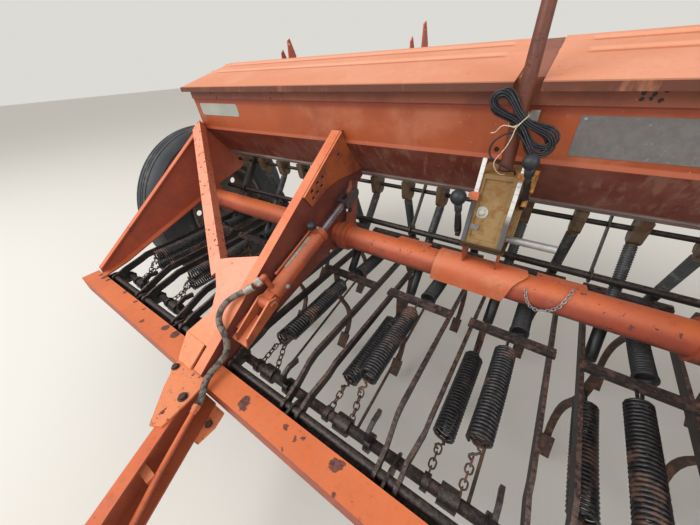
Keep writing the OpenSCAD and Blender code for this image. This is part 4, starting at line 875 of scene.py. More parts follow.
def hankRoute():
    waist, gap = hank["waist"], hank["layer"][0]
    route = [place(*p) for p in hank["start"]]
    tracks = hank["tracks"]
    for n, track in enumerate(tracks):
        layer = n // 3
        if n:
            route.append(hankPoint(0, -waist[track], (layer - 1) * gap))
        part = lobe(1, track, track, (layer, layer))
        route += part[1:] if n == 0 else part
        route.append(hankPoint(0, waist[track], (layer - 1) * gap))
        if n < len(tracks) - 1:
            route += lobe(-1, track, tracks[n + 1], (layer, (n + 1) // 3))
    route += [hankPoint(u, v, gap + w) for u, v, w in hank["end"]]
    return route


hankPoints = hankRoute()
hankPiece = cordCurve("cable_hank_line", hankPoints, hank["radius"], cableBlack,
                      "frame")


def hankPlug():
    # small round connector on the cable's end, behind the left lobe
    aim = (hankPoints[-1] - hankPoints[-2]).normalized()
    profile = [(-0.004, 0.0031), (-0.003, 0.0045), (0.004, 0.006), (0.005, 0.0068),
               (0.018, 0.0068), (0.019, 0.0058), (0.024, 0.0058), (0.0245, 0.0045)]
    return solid("cable_connector", cableBlack, "frame",
                 turned=[(hankPoints[-1], aim, profile, 16)])


connector = hankPlug()
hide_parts("cable_hank")
curveLength(hankPiece)

# twine round the hank's waist and the pole, with a long and a short tail
twine = {
    "radius": 0.0014,
    "tie": [(0.015, -0.2545, 1.352), (0.0085, -0.2545, 1.3443), (0.0046, -0.2523, 1.3395),
            (0.0016, -0.2443, 1.3363), (-0.0085, -0.233, 1.3365), (-0.0205, -0.218, 1.339),
            (-0.0228, -0.199, 1.345), (-0.015, -0.1828, 1.35), (0.0, -0.1772, 1.354),
            (0.015, -0.1828, 1.358), (0.0228, -0.199, 1.362), (0.0252, -0.216, 1.3655),
            (0.029, -0.237, 1.3685), (0.0288, -0.2493, 1.3683), (0.025, -0.2553, 1.3635),
            (0.0195, -0.2572, 1.3572), (0.0143, -0.259, 1.3498), (0.0095, -0.262, 1.343),
            (0.006, -0.2665, 1.3345)],
    "tail": [(0.0045, -0.271, 1.322), (0.001, -0.275, 1.306), (-0.005, -0.278, 1.288),
             (-0.015, -0.279, 1.269), (-0.024, -0.279, 1.253), (-0.027, -0.2785, 1.24),
             (-0.023, -0.2765, 1.227), (-0.014, -0.271, 1.213), (-0.004, -0.262, 1.204),
             (0.008, -0.254, 1.202)],
    "short": [(0.0085, -0.2655, 1.347), (0.0, -0.268, 1.343), (-0.012, -0.269, 1.344),
              (-0.024, -0.269, 1.3455), (-0.032, -0.2695, 1.342), (-0.0385, -0.2695, 1.334),
              (-0.045, -0.2695, 1.326), (-0.056, -0.269, 1.323)],
}
for name, parts in (("twine_long", twine["tie"] + twine["tail"]), ("twine_short", twine["short"])):
    points = [place(*p) for p in parts]
    piece = cordCurve(name, points, twine["radius"], twineFibre, "frame")
    curveLength(piece)
print("stage: cords")


rowPitch = 0.178
rows = [(i - 9.5) * rowPitch for i in range(20)]
units = [(rows[2 * k] + rows[2 * k + 1]) / 2 for k in range(10)]

# springs: coils with a hook at the rear and an eye at the front; the rear rank's are closed
springSets = {
    "upper_springs": {"hook": 0.049, "length": 0.36, "turns": 29, "radius": 0.0308, "wire": 0.0049,
                      "seats": [(x, -0.3923, 0.657) for x in units]},
    "lower_springs": {"hook": 0.056, "length": 0.353, "turns": 28, "radius": 0.0308, "wire": 0.0049,
                      "seats": [(x, -0.3803, 0.55) for x in rows[::2]]},
    "rear_springs": {"hook": 0.034, "length": 0.375, "turns": 34, "radius": 0.027, "wire": 0.005,
                     "seats": [(x + 0.025, 0.0797, 0.657) for x in units]},
}
coil = {
    "perTurn": 12, "sides": 7,
    "first": 0.0045,  # from the hook's foot to the first coil
    "short": 0.01,
    "wind": 2.6, "lead": 0.012,
    "sway": 0.004, "sag": 0.003,
    "lip": [(0.0, 0.0225), (0.0, 0.0318), (0.003, 0.0335), (0.009, 0.0335), (0.011, 0.0315),
            (0.011, 0.0265), (0.008, 0.0245), (-0.012, 0.0235), (-0.012, 0.0205)],
    "lipAt": 0.3695,
}


def springLine(look, x, seatY, z, seed):
    pick = random.Random(seed)
    start = seatY - look["hook"]
    count = look["turns"] * coil["perTurn"]
    phase = pick.uniform(0, 6.28)
    line = [place(x, seatY - 0.001, z), place(x, seatY - look["hook"] * 0.65, z)]
    for i in range(5):  # the hook winds out to the first coil
        t = (i + 1) / 6
        a = phase - (1 - t) * coil["wind"]
        r = look["radius"] * t
        line.append(place(x + r * math.cos(a), start + coil["lead"] * (1 - t) - coil["first"],
                          z + r * math.sin(a)))
    sway = pick.uniform(-coil["sway"], coil["sway"])
    for i in range(count + 1):
        t = i / count
        a = phase + i * 2 * math.pi / coil["perTurn"]
        bow = math.sin(math.pi * t)
        line.append(place(x + sway * bow + look["radius"] * math.cos(a),
                          start - coil["first"] - (look["length"] - coil["short"]) * t,
                          z - coil["sag"] * bow + look["radius"] * math.sin(a)))
    return line


def springPieces():
    for n, (node, look) in enumerate(springSets.items()):
        lines = [springLine(look, *seat, 40 * n + k) for k, seat in enumerate(look["seats"])]
        paint = dullSpring if node == "rear_springs" else springSteel
        piece = wires.grow(node + "_coils", pathMesh(node, lines), paint, "frame", "spring_steel",
                           {"Radius": look["wire"], "Sides": coil["sides"]})
        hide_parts(node)
    rear = springSets["rear_springs"]
    lips = bmesh.new()
    for x, y, z in rear["seats"]:
        mouth = place(x, y - rear["hook"] - coil["lipAt"], z)
        rings = revolve(lips, mouth, Vector((0, -1, 0)), coil["lip"], 24)
        lips.faces.new(rings[-1])
    settle("spring_lips", meshOf("spring_lips", lips), dullSpring, "frame")


springPieces()
print("stage: springs")

# chains from the springs to the spools on the tension shaft, and one looped under the rockshaft
tension = {
    "y": -0.915, "z": 0.525, "gap": 0.004, "hookPart": 0.34,
    "spools": [(0.03, -0.8073, 0.657), (0.026, -0.7903, 0.55)],  # radius, spring's end y and z
    "links": {"Pitch": 0.019, "Width": 0.019, "Wire": 0.0027},
    "ring": (0.013, 0.01, 0.012), "rings": 10,
    "hook": (0.011, 0.004), "hooks": 11,
    "eyes": {"Radius": 0.0036, "Sides": 6},
}
looseChain = {
    "links": {"Pitch": 0.0105, "Width": 0.01, "Wire": 0.0014},
    "points": [(0.174, -0.2914, 0.8211), (0.186, -0.302, 0.793), (0.203, -0.301, 0.7695),
               (0.222, -0.296, 0.758), (0.2431, -0.294, 0.757), (0.266, -0.301, 0.7781),
               (0.2833, -0.301, 0.8071), (0.2949, -0.2834, 0.8368), (0.3041, -0.253, 0.852)],
}


def onShaft(y, z, r):
    dy, dz = y - tension["y"], z - tension["z"]
    far = math.hypot(dy, dz)
    return tension["y"] + r * dy / far, tension["z"] + r * dz / far


def chainLines():
    lines, hooks = [], []
    (wide, drop, high), (out, up) = tension["ring"], tension["hook"]
    count = tension["hooks"]
    for k, x in enumerate(units):
        for at, (radius, y, z) in zip((x, rows[2 * k]), tension["spools"]):
            endY, endZ = onShaft(y, z, radius + tension["gap"])
            a, b = place(at, y, z), place(at, endY, endZ)
            step = (b - a) * tension["hookPart"]
            lines.append([a + step, b])
            hooks.append([])  # the ring that hangs in the last coil
            for t in range(tension["rings"]):
                c, s = math.cos(t * 0.7), math.sin(t * 0.7)
                hooks[-1].append(place(at + wide * s, y + drop - wide * c, z - drop + high * c))
            hooks.append([])  # the double hook below it
            for t in range(count + 1):
                bend = Vector((out * math.sin(2 * math.pi * t / count), 0, up * math.cos(3 * t)))
                hooks[-1].append(a + step * (0.08 + 0.92 * t / count) + bend)
    return lines, hooks


def chainPieces():
    lines, hooks = chainLines()
    piece = chains.grow("spring_chain_links", pathMesh("chains", lines), rustySteel, "frame",
                        "rusty_steel", tension["links"])
    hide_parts("spring_chains")
    wires.grow("spring_eyes", pathMesh("eyes", hooks), rustySteel, "frame", "rusty_steel",
               tension["eyes"])
    loop = [place(*p) for p in looseChain["points"]]
    chains.grow("loose_chain", pathMesh("loose chain", [loop]), brightSteel, "rockshaft",
                "rusty_steel", looseChain["links"])


chainPieces()
print("stage: chains")

# seed tubes: ribbed hose above, plain boot with an open, slanted end below
seedTube = {
    "root": (0.045, 0.933), "front": (-0.25, 0.56), "rear": (0.19, 0.56), "inset": 0.024,
    "ribbed": {"Pitch": 0.0088, "Radius": 0.0185, "Rib": 0.0025},
    "boot": 0.0208, "bootFrom": 0.52, "overlap": 0.01,
    "cut": ((6, 7, 8), 0.45, Vector((0, 1, 0))),  # the slanted end's rings and their tilt
}


def tubeEnds(i):
    (y0, z0), (y1, z1) = seedTube["root"], seedTube["front" if i % 2 == 0 else "rear"]
    far = math.hypot(y1 - y0, z1 - z0)
    dy, dz = (y1 - y0) / far, (z1 - z0) / far
    inset = seedTube["inset"]
    return place(rows[i], y0 + dy * inset, z0 + dz * inset), place(rows[i], y1, z1)


def seedTubes(node, first):
    lines, boots = [], []
    r = seedTube["boot"]
    for i in range(first, 20, 2):
        a, b = tubeEnds(i)
        aim = (b - a).normalized()
        turnAt = (b - a).length * seedTube["bootFrom"]
        end = (b - a).length - turnAt
        lines.append([a, a + aim * (turnAt + seedTube["overlap"])])
        boots.append((a + aim * turnAt, aim, [
            (0.0, r - 0.004), (0.0, r), (0.02, r), (0.022, r - 0.0012), (0.04, r - 0.0012),
            (0.042, r), (end - 0.014, r), (end - 0.01, r - 0.0008), (end - 0.012, r - 0.003),
            (0.02, r - 0.003), (0.02, r - 0.012)], 20, seedTube["cut"]))
    piece = ribs.grow(node + "_ribbed", pathMesh(node, lines), tubeRubber, "frame",
                      "tube_rubber", seedTube["ribbed"])
    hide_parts(node)
    solid(node + "_boots", bootRubber, "frame", turned=boots, smooth=True)


seedTubes("front_seed_tubes", 0)
seedTubes("rear_seed_tubes", 1)
print("stage: seed tubes")

# blank plates on the hopper's front
plates = {
    "left": {"x": (-1.772, -1.416), "z": (1.297, 1.361), "corner": 0.014, "paint": palePlate},
    "right": {"x": (0.152, 1.01), "z": (1.248, 1.361), "corner": 0.002, "paint": plateSteel},
}
plateFace = 0.0014  # from the hopper's front to the plate's


def panelY(z):
    # front of the hopper between the crease and the band
    return -0.135 - 0.014 * (z - 1.215) / 0.17


def hopperPlates():
    for name, look in plates.items():
        (x0, x1), (z0, z1), corner = look["x"], look["z"], look["corner"]
        outline = []
        for cx, cz, a0 in ((x1 - corner, z1 - corner, 0), (x0 + corner, z1 - corner, 90),
                           (x0 + corner, z0 + corner, 180), (x1 - corner, z0 + corner, 270)):
            for k in range(5):
                a = math.radians(a0 + 22.5 * k)
                x, z = cx + corner * math.cos(a), cz + corner * math.sin(a)
                outline.append(place(x, panelY(z) - plateFace, z))
        solid("hopper_plate_" + name, look["paint"], "frame",
              [(outline, Vector((0, plateFace + 0.0002, 0)))])


hopperPlates()
print("stage: hopper plates")

# drawbar channels with a narrow top flange, their gussets, feet and the pipe along the left one
drawbar = {"root": (0.71, -1.104), "tip": (0.052, -2.6), "half": 0.044, "wall": 0.008,
           "low": 0.48, "high": 0.6, "flange": 0.046}


def drawX(y, off=0.0):
    (x0, y0), (x1, y1) = drawbar["root"], drawbar["tip"]
    return x1 + (x0 - x1) * (y - y1) / (y0 - y1) + off


def drawbarPieces():
    half, wall = drawbar["half"], drawbar["wall"]
    yRoot, yTip = drawbar["root"][1], drawbar["tip"][1]
    parts = [((half - wall, half), (drawbar["low"], drawbar["high"])),
             ((half - drawbar["flange"], half - wall), (drawbar["high"] - wall, drawbar["high"])),
             ((-half, half - wall), (drawbar["low"], drawbar["low"] + wall))]
    for side, name in ((-1, "left"), (1, "right")):
        slabs = []
        for (near, far), (low, high) in parts:
            corners = ((yRoot, near), (yRoot, far), (yTip, far), (yTip, near))
            slabs.append(([place(side * drawX(y, off), y, high) for y, off in corners],
                          Vector((0, 0, low - high))))
        piece = solid("drawbar_channel_" + name, drawbarPaint, "frame", slabs)
        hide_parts("drawbar_" + name)


# flat plates at the drawbar's root by their height and outline, and the slanted feet of the struts
gussets = {
    0.608: [(0.75, -1.022), (0.88, -1.022), (0.848, -1.104), (0.844, -1.13), (0.82, -1.147),
            (0.787, -1.188), (0.69, -1.285), (0.652, -1.265), (0.66, -1.17), (0.668, -1.106)],
    0.48: [(0.7, -1.108), (0.612, -1.108), (0.594, -1.16), (0.597, -1.225), (0.68, -1.235)],
}
strutFoot = {
    "outline": [(0.7625, -1.0185), (0.884, -1.0185), (0.858, -1.075), (0.846, -1.099),
                (0.7625, -1.099)],
    "low": (-1.093, 0.622), "slope": 0.6956,
}
gussetThick = 0.008


def gussetPieces():
    slabs, feet = [], []
    (y0, z0), slope = strutFoot["low"], strutFoot["slope"]
    for side in (-1, 1):
        for z, outline in gussets.items():
            slabs.append(([place(side * x, y, z) for x, y in outline],
                          Vector((0, 0, -gussetThick))))
        foot = [place(side * x, y, z0 + slope * (y - y0)) for x, y in strutFoot["outline"]]
        feet.append((foot, Vector((0, 0.003, -gussetThick))))
    piece = solid("gusset_plates", strutPaint, "frame", slabs)
    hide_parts("drawbar_gussets")
    solid("strut_feet", strutPaint, "frame", feet)


pipe = {
    "sizes": {"Radius": 0.009, "Sides": 16},
    "points": [(-0.6281, -1.1597, 0.596), (-0.622, -1.175, 0.5945), (-0.608, -1.215, 0.586),
               (-0.568, -1.329, 0.56), (-0.523, -1.43, 0.54), (-0.46, -1.575, 0.515),
               (-0.428, -1.648, 0.502), (-0.4, -1.715, 0.498), (-0.14, -2.33, 0.498),
               (-0.131, -2.35, 0.5)],
    "nut": [(0.0005, 0.008), (0.0005, 0.014), (0.003, 0.015), (0.014, 0.015), (0.016, 0.0125),
            (0.026, 0.0125), (0.028, 0.0092)],
    "clips": [(-1.345, 0.5575, -0.561), (-1.7, 0.498, -0.4062), (-2.05, 0.498, -0.25822),
              (-2.3, 0.498, -0.15252)],  # y, z and the x of the far end
    "clip": 0.024,
}


def pipePieces():
    line = [place(*p) for p in pipe["points"]]
    piece = wires.grow("pipe_line", pathMesh("pipe", [line]), drawbarPaint, "frame", "frame_paint",
                       pipe["sizes"])
    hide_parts("hydraulic_pipe")
    slabs = []
    wide = pipe["clip"]
    for y, z, end in pipe["clips"]:  # from the channel's web out past the pipe
        near, far = -drawX(y, drawbar["half"] - drawbar["wall"]), end - 0.002
        corners = ((near, y), (far, y), (far, y - wide), (near, y - wide))
        slabs.append(([place(x, at, z + wide / 2) for x, at in corners], Vector((0, 0, -wide))))
    solid("pipe_clips", guardPaint, "frame", slabs,
          [(line[0], (line[1] - line[0]).normalized(), pipe["nut"], 6)])


drawbarPieces()
gussetPieces()
pipePieces()
print("stage: drawbar")

# tapered pole, open at its top
pole = {"foot": (0, -0.2, 1.2004), "sides": 24, "profile": [
    (0.0, 0.016), (0.0, 0.0225), (0.006, 0.0225), (0.012, 0.0205), (0.2, 0.0205),
    (0.6496, 0.015), (0.6496, 0.0125), (0.64, 0.012), (0.2, 0.017), (0.01, 0.017)]}
polePiece = solid("pole_tapered", polePaint, "frame", smooth=True, turned=[
    (place(*pole["foot"]), Vector((0, 0, 1)), pole["profile"], pole["sides"])])
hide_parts("centre_pole")

# tyres with four grooves round the tread and rings on the walls, as radius and half width
tyre = {
    "centre": (2.075, -0.04, 0.6), "sides": 96, "sharp": 32,
    "outer": [(0.3052, 0.0875), (0.318, 0.094), (0.345, 0.105), (0.349, 0.1085), (0.356, 0.1085),
              (0.36, 0.1105), (0.4525, 0.1245), (0.456, 0.1225), (0.463, 0.1225), (0.4665, 0.124),
              (0.54, 0.12), (0.548, 0.116), (0.554, 0.1175), (0.582, 0.1), (0.5965, 0.074),
              (0.598, 0.06), (0.586, 0.057), (0.586, 0.05), (0.599, 0.047), (0.6, 0.02),
              (0.588, 0.017), (0.588, 0.01), (0.6, 0.007)],
    "inner": [(0.566, 0.0575), (0.56, 0.09), (0.532, 0.1), (0.4525, 0.105), (0.349, 0.085),
              (0.3052, 0.0675)],
}


def tyrePieces():
    outer, inner, count = tyre["outer"], tyre["inner"], tyre["sides"]
    profile = outer + [(r, -x) for r, x in reversed(outer)]
    profile += [(r, -x) for r, x in reversed(inner)] + inner
    x0, y0, z0 = tyre["centre"]
    for side, name in ((-1, "left"), (1, "right")):
        bm = bmesh.new()
        centre = place(side * x0, y0, z0)
        rings = []
        for k in range(count):
            a = 2 * math.pi * k / count
            rings.append([bm.verts.new(centre + Vector((x, r * math.cos(a), r * math.sin(a))))
                          for r, x in profile])
        for k in range(count):
            low, high = rings[k], rings[(k + 1) % count]
            for j in range(len(profile)):
                i = (j + 1) % len(profile)
                bm.faces.new((low[j], low[i], high[i], high[j]))
        piece = settle("tyre_ribbed_" + name, meshOf("tyre", bm), tyreRubber,
                       "wheel_" + name)
        piece.data.set_sharp_from_angle(angle=math.radians(tyre["sharp"]))
        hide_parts("tyre_" + name)


tyrePieces()

# the lift barrel: its pin, and the directions along it and across it, upwards
barrelTurn = math.atan2(0.236, 0.61)
barrelPin = place(-0.64, -0.79, 0.764)
barrelAlong = Vector((0, math.cos(barrelTurn), math.sin(barrelTurn)))
barrelOver = Vector((0, -math.sin(barrelTurn), math.cos(barrelTurn)))
# parts on it: the bare strip and the oil tube lie a little to the left of its top
barrel = {
    "lean": 16,
    "strip": [(-0.01, 0.158), (0.009, 0.152), (0.0105, 0.322), (-0.0085, 0.328)],
    "stripOut": 0.0352, "stripDepth": 0.002,
    "lineStart": (0.11, 0.0365, -0.0215),  # along, out and across
    "line": [(0.0, 0.004), (0.0, 0.0068), (0.01, 0.0072), (0.013, 0.0058), (0.236, 0.0058),
             (0.24, 0.0072), (0.25, 0.0068), (0.25, 0.004)],
    "portStart": (0.356, 0.03),
    "port": [(0.0, 0.008), (0.0, 0.013), (0.026, 0.013), (0.026, 0.01), (0.032, 0.01)],
    "cap": [(0.029, 0.01), (0.03, 0.0165), (0.035, 0.02), (0.039, 0.0205), (0.04, 0.019),
            (0.042, 0.019), (0.043, 0.0205), (0.05, 0.02), (0.056, 0.0165), (0.0585, 0.01),
            (0.059, 0.004)],
    "nut": [(-0.036, 0.0126), (-0.036, 0.0155), (-0.034, 0.017), (-0.016, 0.017),
            (-0.014, 0.015), (-0.0095, 0.0135), (-0.0095, 0.01)],
}


def barrelParts():
    lean = math.radians(barrel["lean"])
    out = barrelOver * math.cos(lean) + Vector((-1, 0, 0)) * math.sin(lean)
    across = Vector((1, 0, 0)) * math.cos(lean) + barrelOver * math.sin(lean)
    top = barrelPin + out * barrel["stripOut"]
    strip = [top + across * u + barrelAlong * v for u, v in barrel["strip"]]
    solid("barrel_strip", fittingSteel, "lift_barrel",
          [(strip, out * -barrel["stripDepth"])])
    along, high, aside = barrel["lineStart"]
    start = barrelPin + barrelAlong * along + out * high + across * aside
    solid("barrel_line", barrelPaint, "lift_barrel",
          turned=[(start, barrelAlong, barrel["line"], 12)], smooth=True)
    along, high = barrel["portStart"]
    port = barrelPin + barrelAlong * along + barrelOver * high
    solid("barrel_port", barrelPaint, "lift_barrel",
          turned=[(port, barrelOver, barrel["port"], 12)])
    solid("barrel_cap", knobRubber, "lift_barrel",
          turned=[(port, barrelOver, barrel["cap"], 18)], smooth=True)
    aim = (hosePoints[1] - hosePoints[0]).normalized()
    solid("elbow_nut", fittingSteel, "lift_barrel",
          turned=[(hosePoints[0], aim, barrel["nut"], 6)])


barrelParts()

# key on the gearbox cover, tab from the pole to the hopper, and near-black discs in the arms' holes
# as painted shade
coverOut, coverUp = Vector((0, -0.9405, 0.3397)), Vector((0, 0.3397, 0.9405))
key = {
    "middle": (-0.037, -0.3165, 1.035), "out": 0.005, "depth": 0.0052,
    "outline": [(-0.018, -0.007), (0.013, -0.01), (0.018, 0.006), (-0.014, 0.01)],
}
tab = {
    "flat": [(0.024, 1.33), (0.048, 1.33), (0.048, 1.372), (0.024, 1.372)], "y": -0.158,
    "web": [(-0.192, 1.335), (-0.152, 1.335), (-0.152, 1.368), (-0.192, 1.368)], "x": 0.018,
    "depth": 0.006,
}
shadedHoles = {"x": 0.6992, "profile": [(0.0, 0.0088), (0.004, 0.0088), (0.0045, 0.008)],
         "at": [(-0.198, 1.177), (-0.323, 1.112), (-0.36, 1.098), (-0.335, 1.077), (-0.4, 1.075),
                (-0.367, 1.059), (-0.397, 1.042)]}


def smallParts():
    middle = place(*key["middle"]) + coverOut * key["out"]
    outline = [middle + coverUp * v + Vector((u, 0, 0)) for u, v in key["outline"]]
    solid("cover_key", plateSteel, "frame", [(outline, coverOut * -key["depth"])])
    solid("pole_tab", fittingSteel, "frame", [
        ([place(x, tab["y"], z) for x, z in tab["flat"]], Vector((0, tab["depth"], 0))),
        ([place(tab["x"], y, z) for y, z in tab["web"]], Vector((tab["depth"], 0, 0)))])
    # near-black discs set inside the doubler holes as painted shade
    solid("doubler_hole_shade", bootRubber, "frame", smooth=True, turned=[
        (place(side * shadedHoles["x"], y, z), Vector((-side, 0, 0)), shadedHoles["profile"], 16)
        for side in (-1, 1) for y, z in shadedHoles["at"]])


smallParts()

# the gearbox's scale bars, its two levers and the clamps that hold them
gearFront = {"y": -0.34, "z": 0.984, "slope": 0.3611}
scaleBars = {"tops": {-0.065: 1.246, 0.052: 1.249}, "low": 0.989,
             "near": 0.0005, "far": 0.009, "wide": 0.013}
levers = [
    {"knob": (-0.097, -0.35, 1.142), "radius": 0.026, "foot": (-0.086, -0.32, 1.006)},
    {"knob": (0.073, -0.33, 1.268), "radius": 0.022, "foot": (0.084, -0.262, 1.12)},
]
# each block: x from and to, z from and to, thickness, and how far behind it the gearbox is
clamps = {
    "left": [(-0.071, -0.046, 1.124, 1.147, 0.007, 0.01),
             (-0.08, -0.069, 1.129, 1.141, 0.004, 0.006)],
    "right": [(0.046, 0.072, 1.196, 1.216, 0.008, 0.01),
              (0.07, 0.094, 1.199, 1.211, 0.012, 0.004),
              (0.088, 0.1, 1.168, 1.226, 0.011, 0.002),
              (0.074, 0.086, 1.176, 1.199, 0.014, 0.0)],
    "nuts": [(0.052, 1.206), (0.094, 1.22), (0.094, 1.174), (0.079, 1.206)],  # x and z
    "nut": [(0.0, 0.006), (0.008, 0.006), (0.0085, 0.005)],
    "nutAim": Vector((0, -1, 0.36)).normalized(), "nutOut": 0.012,
    "pin": [(0.0, 0.005), (0.0, 0.008), (0.05, 0.008), (0.055, 0.006)],
    "pinAim": Vector((0.0, 0.34, 0.94)).normalized(), "pinFoot": (0.086, 1.12),
}


def gearY(z):
    # front plane of the gearbox
    return gearFront["y"] + gearFront["slope"] * (z - gearFront["z"])


def leverPieces():
    knobs, arms = bmesh.new(), bmesh.new()
    for look in levers:
        top, end, radius = place(*look["knob"]), place(*look["foot"]), look["radius"]
        aim, far = (top - end).normalized(), (top - end).length
        ball = bmesh.ops.create_uvsphere(knobs, u_segments=24, v_segments=14, radius=radius)
        bmesh.ops.translate(knobs, verts=ball["verts"], vec=top)
        closedRevolve(knobs, top, aim, [
            (-radius - 0.03, 0.0095), (-radius - 0.026, 0.012), (-radius + 0.004, 0.0135)], 14)
        closedRevolve(arms, end, aim, [
            (0.0, 0.006), (0.0, 0.0115), (0.02, 0.0125), (far * 0.5, 0.0105),
            (far - radius - 0.024, 0.0085)], 12)
        outward = Vector((math.copysign(1, look["knob"][0]), 0, 0))
        closedRevolve(arms, end - aim * 0.004 - outward * 0.008, outward, [
            (0.0, 0.008), (0.0, 0.015), (0.012, 0.015), (0.014, 0.013), (0.014, 0.006)], 12)
    piece = settle("lever_knobs", meshOf("knobs", knobs), knobRubber, "frame")
    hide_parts("gearbox_levers")
    settle("lever_arms", meshOf("arms", arms), greasySteel, "frame")


def clampBlocks(side):
    blocks = []
    for x0, x1, z0, z1, thick, gap in clamps[side]:
        corners = ((x0, z0), (x1, z0), (x1, z1), (x0, z1))
        outline = [place(x, gearY(z) - gap - thick, z) for x, z in corners]
        blocks.append((outline, Vector((0, thick, 0))))
    return blocks


def gearboxControls():
    low, bars = scaleBars["low"], []
    for x, high in scaleBars["tops"].items():
        outline = [place(x, gearY(z) - scaleBars["near"], z) for z in (low, high)]
        outline += [place(x, gearY(z) - scaleBars["far"], z) for z in (high, low)]
        bars.append((outline, Vector((scaleBars["wide"], 0, 0))))
    piece = solid("scale_bars", scaleSteel, "frame", bars)
    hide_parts("gearbox_scales")
    leverPieces()
    solid("clamp_left", guardPaint, "frame", clampBlocks("left"))
    nuts = [(place(x, gearY(z) - clamps["nutOut"], z), clamps["nutAim"], clamps["nut"], 6)
            for x, z in clamps["nuts"]]
    x, z = clamps["pinFoot"]
    pin = (place(x, gearY(z + 0.03) - 0.002, z), clamps["pinAim"], clamps["pin"], 10)
    solid("clamp_right", rustyOchre, "frame", clampBlocks("right"), nuts + [pin])


gearboxControls()

# curved sheet over the rockshaft, wider at its top and cut back at the front's lower right
guard = {
    "centre": (-0.237, 0.79), "radius": 0.0685, "half": 0.0025, "columns": 12, "sharp": 35,
    "arc": [(73, -0.158, 0.16), (90, -0.16, 0.166), (105, -0.16, 0.168),
            (120, -0.161, 0.158), (135, -0.162, 0.142), (150, -0.163, 0.131),
            (165, -0.164, 0.126), (180, -0.165, 0.122)],  # angle, left and right edge
    "front": [(0.772, -0.166, 0.117), (0.752, -0.167, 0.112)],  # height, left and right edge
    "hangers": (-0.062, 0.056), "hangerWide": 0.006,
    "hanger": [(-0.316, 0.9515), (-0.18, 0.9515), (-0.223, 0.857), (-0.267, 0.854)],
}


def guardPiece():
    (y0, z0), radius, count = guard["centre"], guard["radius"], guard["columns"]
    section = []
    for angle, left, right in guard["arc"]:
        a = math.radians(angle)
        section.append((y0 + radius * math.cos(a), z0 + radius * math.sin(a), a, left, right))
    section += [(y0 - radius, z, math.pi, left, right) for z, left, right in guard["front"]]
    bm = bmesh.new()
    grid = []
    for y, z, a, left, right in section:
        out = Vector((0, math.cos(a), math.sin(a))) * guard["half"]
        middles = [place(left + (right - left) * k / count, y, z) for k in range(count + 1)]
        grid.append([(bm.verts.new(p + out), bm.verts.new(p - out)) for p in middles])
    for high, low in zip(grid, grid[1:]):
        for k in range(count):
            for side in (0, 1):
                bm.faces.new([high[k][side], high[k + 1][side], low[k + 1][side], low[k][side]])
        for k in (0, count):
            bm.faces.new([high[k][0], low[k][0], low[k][1], high[k][1]])
    for edge in (grid[0], grid[-1]):
        for k in range(count):
            bm.faces.new([edge[k][0], edge[k + 1][0], edge[k + 1][1], edge[k][1]])
    for x in guard["hangers"]:  # up to the gearbox
        slab(bm, [place(x, y, z) for y, z in guard["hanger"]],
             Vector((guard["hangerWide"], 0, 0)))
    piece = settle("guard_sheet", meshOf("guard", bm), guardPaint, "frame")
    piece.data.set_sharp_from_angle(angle=math.radians(guard["sharp"]))
    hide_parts("saddle_guard")


guardPiece()
print("stage: small parts")

# hexagon heads: place, aim and size across the flats
screw = {
    "dragBars": {0.133: 0.019, 0.089: 0.016},  # distance from the unit's middle, and size
    "ranks": (-0.372, 0.1), "rankTop": 0.664,
    "gussets": [((0.829, -1.122, 0.608), 0.023), ((0.687, -1.173, 0.608), 0.026),
                ((0.616, -1.165, 0.488), 0.02)],
    "lever": [((-0.629, -0.178, 1.054), 0.022), ((-0.629, -0.215, 0.926), 0.018)],
    "cover": ((-0.025, -0.299, 1.0835), 0.021),
    "plate": (0.164, 1.352, 0.007),  # x, z and size
    "barrel": [(0.012, 0.0245, 0.02), (0.095, 0.034, 0.017)],  # along, to the right, and size
    "port": (0.375, 0.04, 0.014),  # along, up and size
}


def boltPiece(name, spots, paint, body, slot, values=None):
    bolts.grow(name, spotMesh(name, spots), paint, body, slot, values, smooth=False)


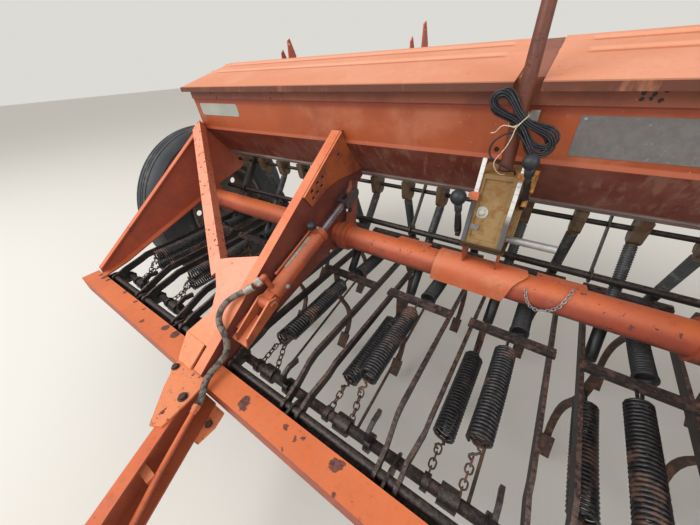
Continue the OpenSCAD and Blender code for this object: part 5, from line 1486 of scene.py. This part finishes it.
def hexBolts():
    up, right = Vector((0, 0, 1)), Vector((1, 0, 0))
    spots = []
    for x in units:  # cross bars on their drag bars
        for rank in screw["ranks"]:
            for s in (-1, 1):
                spots += [(place(x + s * off, rank, screw["rankTop"]), up, size)
                          for off, size in screw["dragBars"].items()]
    for s in (-1, 1):  # drawbar gussets and their lower plates
        spots += [(place(s * x, y, z), up, size) for (x, y, z), size in screw["gussets"]]
    boltPiece("frame_bolts", spots, rustySteel, "frame", "rusty_steel")
    at, size = screw["cover"]
    boltPiece("cover_bolt", [(place(*at), coverOut, size)], fittingSteel, "frame",
              "bright_steel", {"Washer": 0.95})
    x, z, size = screw["plate"]
    boltPiece("plate_screw", [(place(x, panelY(z) - plateFace, z), (0, -1, 0.1), size)],
              brightSteel, "frame", "bright_steel")
    boltPiece("lever_bolts", [(place(*at), right, size) for at, size in screw["lever"]],
              rustySteel, "rockshaft", "rusty_steel")
    spots = [(barrelPin + barrelAlong * along + right * aside, right, size)
             for along, aside, size in screw["barrel"]]
    along, high, size = screw["port"]
    spots.append((barrelPin + barrelAlong * along + barrelOver * high, barrelOver, size))
    boltPiece("barrel_bolts", spots, brightSteel, "lift_barrel", "bright_steel")


hexBolts()
print("stage: bolts")

studio = {
    "floor": 40.0, "floorTint": "#d9d6d0", "sky": (1.0, 0.98, 0.93, 1.0), "skyStrength": 0.72,
    "aim": Vector((0, 0.6, 0.8)),
    "lamps": {"key": ((-4.5, -5.0, 7.0), 6.0, 620.0),
              "fill": ((6.0, -3.0, 5.0), 5.0, 220.0)},  # place, size and power
}


def setStage():
    s = Shader("floor")
    s.finish(studio["floorTint"], 0.9)
    mesh = bpy.data.meshes.new("floor")
    far = studio["floor"]
    corners = [(-far, -far, 0), (far, -far, 0), (far, far, 0), (-far, far, 0)]
    mesh.from_pydata(corners, [], [(0, 1, 2, 3)])
    mesh.materials.append(s.material)
    floor = newObject("floor", mesh)

    world = bpy.data.worlds.new("sky")
    world.use_nodes = True
    background = world.node_tree.nodes["Background"]
    background.inputs["Color"].default_value = studio["sky"]
    background.inputs["Strength"].default_value = studio["skyStrength"]
    bpy.context.scene.world = world
    bpy.context.scene.view_settings.view_transform = "Standard"

    for name, (at, size, power) in studio["lamps"].items():
        lamp = bpy.data.lights.new(name, "AREA")
        lamp.size, lamp.energy = size, power
        item = newObject(name, lamp)
        item.location = at
        item.rotation_mode = "QUATERNION"
        item.rotation_quaternion = (studio["aim"] - item.location).to_track_quat("-Z", "Y")


setStage()
print("stage: floor and light")
